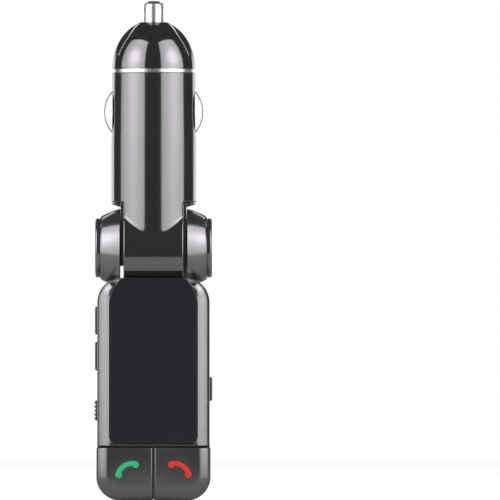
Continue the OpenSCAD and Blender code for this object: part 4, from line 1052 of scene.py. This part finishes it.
def makeArmFront():
    a, d, f, s = arm, display, sideForm, slider
    form = frontBlock(0, a["front"], 0, a["bandStart"], a["bandEnd"])
    obj = makePiece("arm_face", form, "arm_black", "arm", "arm_front")
    carve(obj, [lugShape(-1, False), lugShape(1, False)], "UNION")
    inner = [(x, z) for x, z, *_ in armOutline(-a["wall"])]
    carve(obj, [slab(clipped(inner, a["gapTop"] + 1.0, a["hollowTop"]), a["hollowFront"], 1),
                slab(clipped(inner, -70, a["gapTop"] + 1.01), a["deckBack"], 1),
                box((-20, -20, -70), (20, a["deckFront"], a["gapTop"])),
                slab(paneOutline(windowPane["gap"]), a["front"] - 1, a["front"] + windowPane["t"]),
                box((-d["half"] + d["border"], -12, d["low"] + d["border"]),
                    (d["half"] - d["border"], -7, d["high"] - d["border"]))])
    carve(obj, bossRods(a["hollowFront"] - 0.05, a["boss"], 8.05), "UNION")
    cuts = sharedCuts() + bossRods(-3.15, a["screwBore"], 4)
    cuts += [rod((side * callKey["markX"], -8, callKey["markZ"]), "y", 1.4, 5) for side in (-1, 1)]
    for side, z, length in sideKeys.values():
        x0, x1 = sorted((side * 11.0, side * 15.0))
        ring = oblong(f["y"], z, f["width"] / 2 + f["play"], length / 2 + f["play"], 0.5)
        cuts.append(loft([[(x, y, h) for y, h in ring] for x in (x0, x1)]))
    wide, high = s["stemWidth"] / 2 + f["play"], s["stem"] / 2 + f["play"]
    cuts.append(box((-15, f["y"] - wide, s["z"] - s["travel"] - high), (-11, f["y"] + wide, s["z"] + high)))
    carve(obj, cuts)
    soften(obj, 0.09, 50, 12, weld=0.004, even=True)


def makeArmRear():
    a = arm
    obj = makePiece("arm_back", rearBlock(), "arm_black", "arm", "arm_rear")
    carve(obj, [lugShape(-1, True), lugShape(1, True)], "UNION")
    hollow = clipped([(x, z) for x, z, *_ in armOutline(-a["wall"])], -70, a["hollowTop"])
    middle = sum(z for _, z in hollow) / len(hollow)
    r = a["hollowRound"]
    floorY = a["back"] - a["wall"] - r
    loops = [[(x, y, z) for x, z in hollow] for y in (-1, floorY)]
    for k in range(1, 7):
        t = math.pi / 2 * k / 6
        inset = r * (1 - math.cos(t))
        loop = []
        for x, z in hollow:
            pullX, pullZ = inset * (x / 12.1), inset * max(-1, min(1, (z - middle) / 23.5))
            loop.append((x - pullX, floorY + r * math.sin(t), z - pullZ if z < middle else z))
        loops.append(loop)
    carve(obj, [loft(loops), box((-a["lugIn"], -1, -11.0), (a["lugIn"], 12, 1))])
    carve(obj, bossRods(0, a["boss"], 9.7), "UNION")
    cuts = sharedCuts()
    for way, head in zip(bossRods(-1, a["screwWay"], 12), bossRods(a["headFrom"], a["headBore"], 3)):
        cuts += [way, head]
    carve(obj, cuts)
    soften(obj, 0.09, 50, 12, weld=0.004, even=True)


def makeWindow():
    front, t = arm["front"], windowPane["t"]
    rim = ((0, t - 0.05), (0, 0.10), (-0.03, 0.03), (-0.10, 0), (-0.16, 0), (-0.6, 0))
    loops = [[(x, front + y, z) for x, z in paneOutline(grow)] for grow, y in rim]
    makePiece("window_pane", loft(loops), "window_black", "arm", "window", 25)


makeArmFront()
makeArmRear()
makeWindow()
print("arm made")


# call keys with their handset marks

def markOutline(side, grow=0.0):
    # a bowed stroke with a round ball at each end
    m = mark
    lean = math.radians(90 + m["tilt"] if side < 0 else 90 - m["tilt"])
    cx = side * callKey["markX"] - m["bow"] * math.cos(lean)
    cz = callKey["markZ"] - m["bow"] * math.sin(lean)
    sweep = math.radians(m["sweep"])
    outR, inR, endR = m["bow"] + m["stroke"] / 2 + grow, m["bow"] - m["stroke"] / 2 - grow, m["end"] + grow
    ballR = m["bow"] - m["pull"]
    share = (inR ** 2 - ballR ** 2 - endR ** 2) / (2 * ballR * endR)
    meet = 2 * math.pi - math.acos(max(-1, min(1, share)))
    shift = math.atan2(-math.sin(meet) * endR, ballR + endR * math.cos(meet))

    def arc(r, first, last, steps, skip=0):
        turns = [between(first, last, i / steps) for i in range(skip, steps + 1 - skip)]
        return [(cx + r * math.cos(t), cz + r * math.sin(t)) for t in turns]

    def ball(end):
        t = lean + end * sweep
        u, v = (math.cos(t), math.sin(t)), (-math.sin(t) * end, math.cos(t) * end)
        pts = []
        for i in range(1, 23):
            p = meet * i / 22
            pts.append((cx + ballR * u[0] + endR * (math.cos(p) * u[0] + math.sin(p) * v[0]),
                        cz + ballR * u[1] + endR * (math.cos(p) * u[1] + math.sin(p) * v[1])))
        return pts

    return (arc(outR, lean - sweep, lean + sweep, 24) + ball(1)
            + arc(inR, lean + sweep - shift, lean - sweep + shift, 20, skip=1) + ball(-1)[::-1])


def makeMark(side):
    name, node, body, look = (("mark_answer", "answer_mark", "answer", "mark_green") if side < 0
                              else ("mark_hangup", "hangup_mark", "hangup", "mark_red"))
    front = arm["front"] - callKey["proud"]
    rim = ((0, mark["t"] - 0.01), (0, 0.06), (-0.02, 0.015), (-0.07, 0))
    loops = [[(x, front + y, z) for x, z in markOutline(side, grow)] for grow, y in rim]
    makePiece(name, loft(loops), look, body, node, 30)


def makeCallKey(side):
    k = callKey
    name, node, body = (("key_answer", "answer_key", "answer") if side < 0
                        else ("key_hangup", "hangup_key", "hangup"))
    front, back = arm["front"] - k["proud"], arm["front"] + k["depth"]
    bm = bmeshOf(frontBlock(k["proud"], front, back, k["start"], k["end"], 18, 0.18))
    bmesh.ops.remove_doubles(bm, verts=bm.verts, dist=1e-8)
    # cut off above, and along the slit between the two keys
    slitPlace = Vector((side * k["slit"] * mm, 0, 0))
    for place, way in ((at((0, 0, k["top"])), (0, 0, 1)), (slitPlace, (-side, 0, 0))):
        bmesh.ops.bisect_plane(bm, geom=bm.verts[:] + bm.edges[:] + bm.faces[:], plane_co=place, plane_no=way,
                               clear_outer=True)
        bmesh.ops.holes_fill(bm, edges=openEdges(bm), sides=0)
    bmesh.ops.recalc_face_normals(bm, faces=bm.faces)
    bmesh.ops.dissolve_degenerate(bm, edges=bm.edges, dist=1e-6)
    sharp = [e for e in bm.edges if len(e.link_faces) == 2 and math.degrees(e.calc_face_angle(0)) > 46]
    bmesh.ops.bevel(bm, geom=sharp, offset=k["round"] * mm, offset_type="OFFSET", segments=4, profile=0.5,
                    affect="EDGES", clamp_overlap=False)
    bmesh.ops.remove_doubles(bm, verts=bm.verts, dist=2e-6)
    bmesh.ops.recalc_face_normals(bm, faces=bm.faces)
    mesh = bpy.data.meshes.new(name)
    bm.to_mesh(mesh)
    bm.free()
    obj = linked(name, mesh)
    dress(obj, "key_grey", body, node)
    # hollow behind, with the mark's pocket in front and a stem down to the switch
    w = k["wall"]
    inner = clipped([(x, z) for x, z, *_ in armOutline(-w)], -70, k["top"] - w)
    xs = k["slit"] + w
    inner = [(max(x, xs) if side > 0 else min(x, -xs), z) for x, z in inner]
    keep = [inner[0]]
    for p in inner[1:]:
        if (Vector(p) - Vector(keep[-1])).length > 1e-4:
            keep.append(p)
    carve(obj, [slab(keep, front + w + 0.6, back + 1),
                slab(markOutline(side, 0.05), front - 1, front + mark["t"])])
    stemFrom = front + w * 0.7
    stem = rod((side * k["markX"], stemFrom, k["markZ"]), "y", k["stem"], k["stemEnd"] - stemFrom)
    carve(obj, [stem], "UNION")
    shadeSmooth(obj.data, 35)


for side in (-1, 1):
    makeCallKey(side)
    makeMark(side)
print("call keys made")


# side keys and the ribbed slider

def makeSideKey(which):
    # a rounded button on a flange that stays behind the wall
    side, z, length = sideKeys[which]
    f = sideForm
    w, h, m = f["width"] / 2, length / 2, f["margin"]
    outer = arm["half"] + f["out"]
    loops = []
    for x, g in ((f["in"] - 0.3, 0), (outer - 0.38, 0), (outer - 0.26, 0.03), (outer - 0.12, 0.12),
                 (outer - 0.04, 0.26), (outer - 0.01, 0.45), (outer, 0.75)):
        ring = oblong(f["y"], z, w - g, h - g, max(0.12, 0.45 - g * 0.4), 5)
        loops.append([(side * x, y, up) for y, up in ring])
    x0, x1 = sorted((side * (f["in"] - f["flange"]), side * f["in"]))
    back = max(f["y"] + w + m, f["back"])
    flange = roundedBox((x0, f["y"] - w - m, z - h - m), (x1, back, z + h + m), 0.1, 2)
    obj = makePiece("button_" + which, loft(loops), "side_grey", "side_" + which, "side_key_" + which, 30)
    carve(obj, [flange], "UNION")
    shadeSmooth(obj.data, 32)


def makeSlider():
    # one waved outline in the plane of x and z, drawn along y, on a stem
    s, f = slider, sideForm
    x0 = arm["half"] + 0.05
    y0, y1 = f["y"] - s["width"] / 2, f["y"] + s["width"] / 2
    low = s["z"] - s["length"] / 2
    crest = []
    count = 10 * s["ribs"]
    for i in range(count + 1):
        t = i / count
        wave = smoothStep(0.05, 0.75, 0.5 - 0.5 * math.cos(2 * math.pi * s["ribs"] * t))
        crest.append((x0 + s["plate"] - 0.06 + (s["rib"] + 0.05) * wave, low + s["length"] * t))
    outline = [(x0, low), (x0, low + s["length"])] + crest[::-1]
    loops = []
    for y, g in ((y0, 0.14), (y0 + 0.05, 0.05), (y0 + 0.14, 0),
                 (y1 - 0.14, 0), (y1 - 0.05, 0.05), (y1, 0.14)):
        loops.append([(-(max(x0, x - g)), y, h + (g if h < s["z"] else -g)) for x, h in outline])
    stem = box((-(x0 + 0.1), f["y"] - s["stemWidth"] / 2, s["z"] - s["stem"] / 2),
               (-11.2, f["y"] + s["stemWidth"] / 2, s["z"] + s["stem"] / 2))
    obj = makePiece("slide_knob", loft(loops), "side_grey", "slider", "power_slider", 35)
    carve(obj, [stem], "UNION")
    shadeSmooth(obj.data, 35)


for which in sideKeys:
    makeSideKey(which)
makeSlider()
print("side keys made")


# pieces inside, at the back and at the lower end: the CAD's own forms with rounded edges,
# each with its body, its look and the width of its edges

inside = {
    "power_board": ("plug", "circuit_board", 0.08), "power_inductor": ("plug", "ferrite", 0.15),
    "filter_capacitor": ("plug", "can_aluminium", 0.18), "converter_chip": ("plug", "chip_black", 0.10),
    "chip_fuse": ("plug", "chip_ivory", 0.06), "plug_screw": ("plug", "zinc_steel", 0.08),
    "spring_seat": ("plug", "brass", 0.08), "tip_spring": ("plug", "spring_steel", 0),
    "pivot_bush_left": ("plug", "acetal", 0.08), "pivot_bush_right": ("plug", "acetal", 0.08),
    "plug_lead": ("plug", "lead_red", 0), "friction_washer_left": ("arm", "fibre", 0.05),
    "friction_washer_right": ("arm", "fibre", 0.05), "retaining_clip_left": ("plug", "spring_steel", 0.05),
    "retaining_clip_right": ("plug", "spring_steel", 0.05), "display_module": ("arm", "display_glass", 0.08),
    "main_board": ("arm", "circuit_board", 0.08), "radio_module": ("arm", "shield_tin", 0.10),
    "audio_chip": ("arm", "chip_black", 0.08), "microphone": ("arm", "shield_tin", 0.10),
    "usb_shell": ("arm", "shield_tin", 0.08), "usb_tongue": ("arm", "tongue_white", 0.10),
    "audio_jack": ("arm", "jack_black", 0.12), "arm_lead": ("arm", "lead_red", 0),
    "answer_switch": ("arm", "shield_tin", 0.08), "hangup_switch": ("arm", "shield_tin", 0.08),
    "side_switch_upper": ("arm", "shield_tin", 0.08), "side_switch_lower": ("arm", "shield_tin", 0.08),
    "side_switch_right": ("arm", "shield_tin", 0.08), "slide_switch": ("arm", "shield_tin", 0.08),
    "arm_screws": ("arm", "zinc_steel", 0.08),
}
# what gives way when something is pressed: its joint, the way, the still end in metres, what is left of it
pressed = {
    "tip_spring": ("tip_press", (0, 0, 1), (0, 0, 0.0275), 0.535),
    "answer_switch": ("answer_press", (0, 1, 0), (0, -0.0031, 0), 0.74),
    "hangup_switch": ("hangup_press", (0, 1, 0), (0, -0.0031, 0), 0.74),
}
for node, (body, look, width) in inside.items():
    piece = nodeCopy(node + "_piece", node, look, body, width)
    if node in pressed:
        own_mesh(piece)
print("inner pieces made:", len(inside))
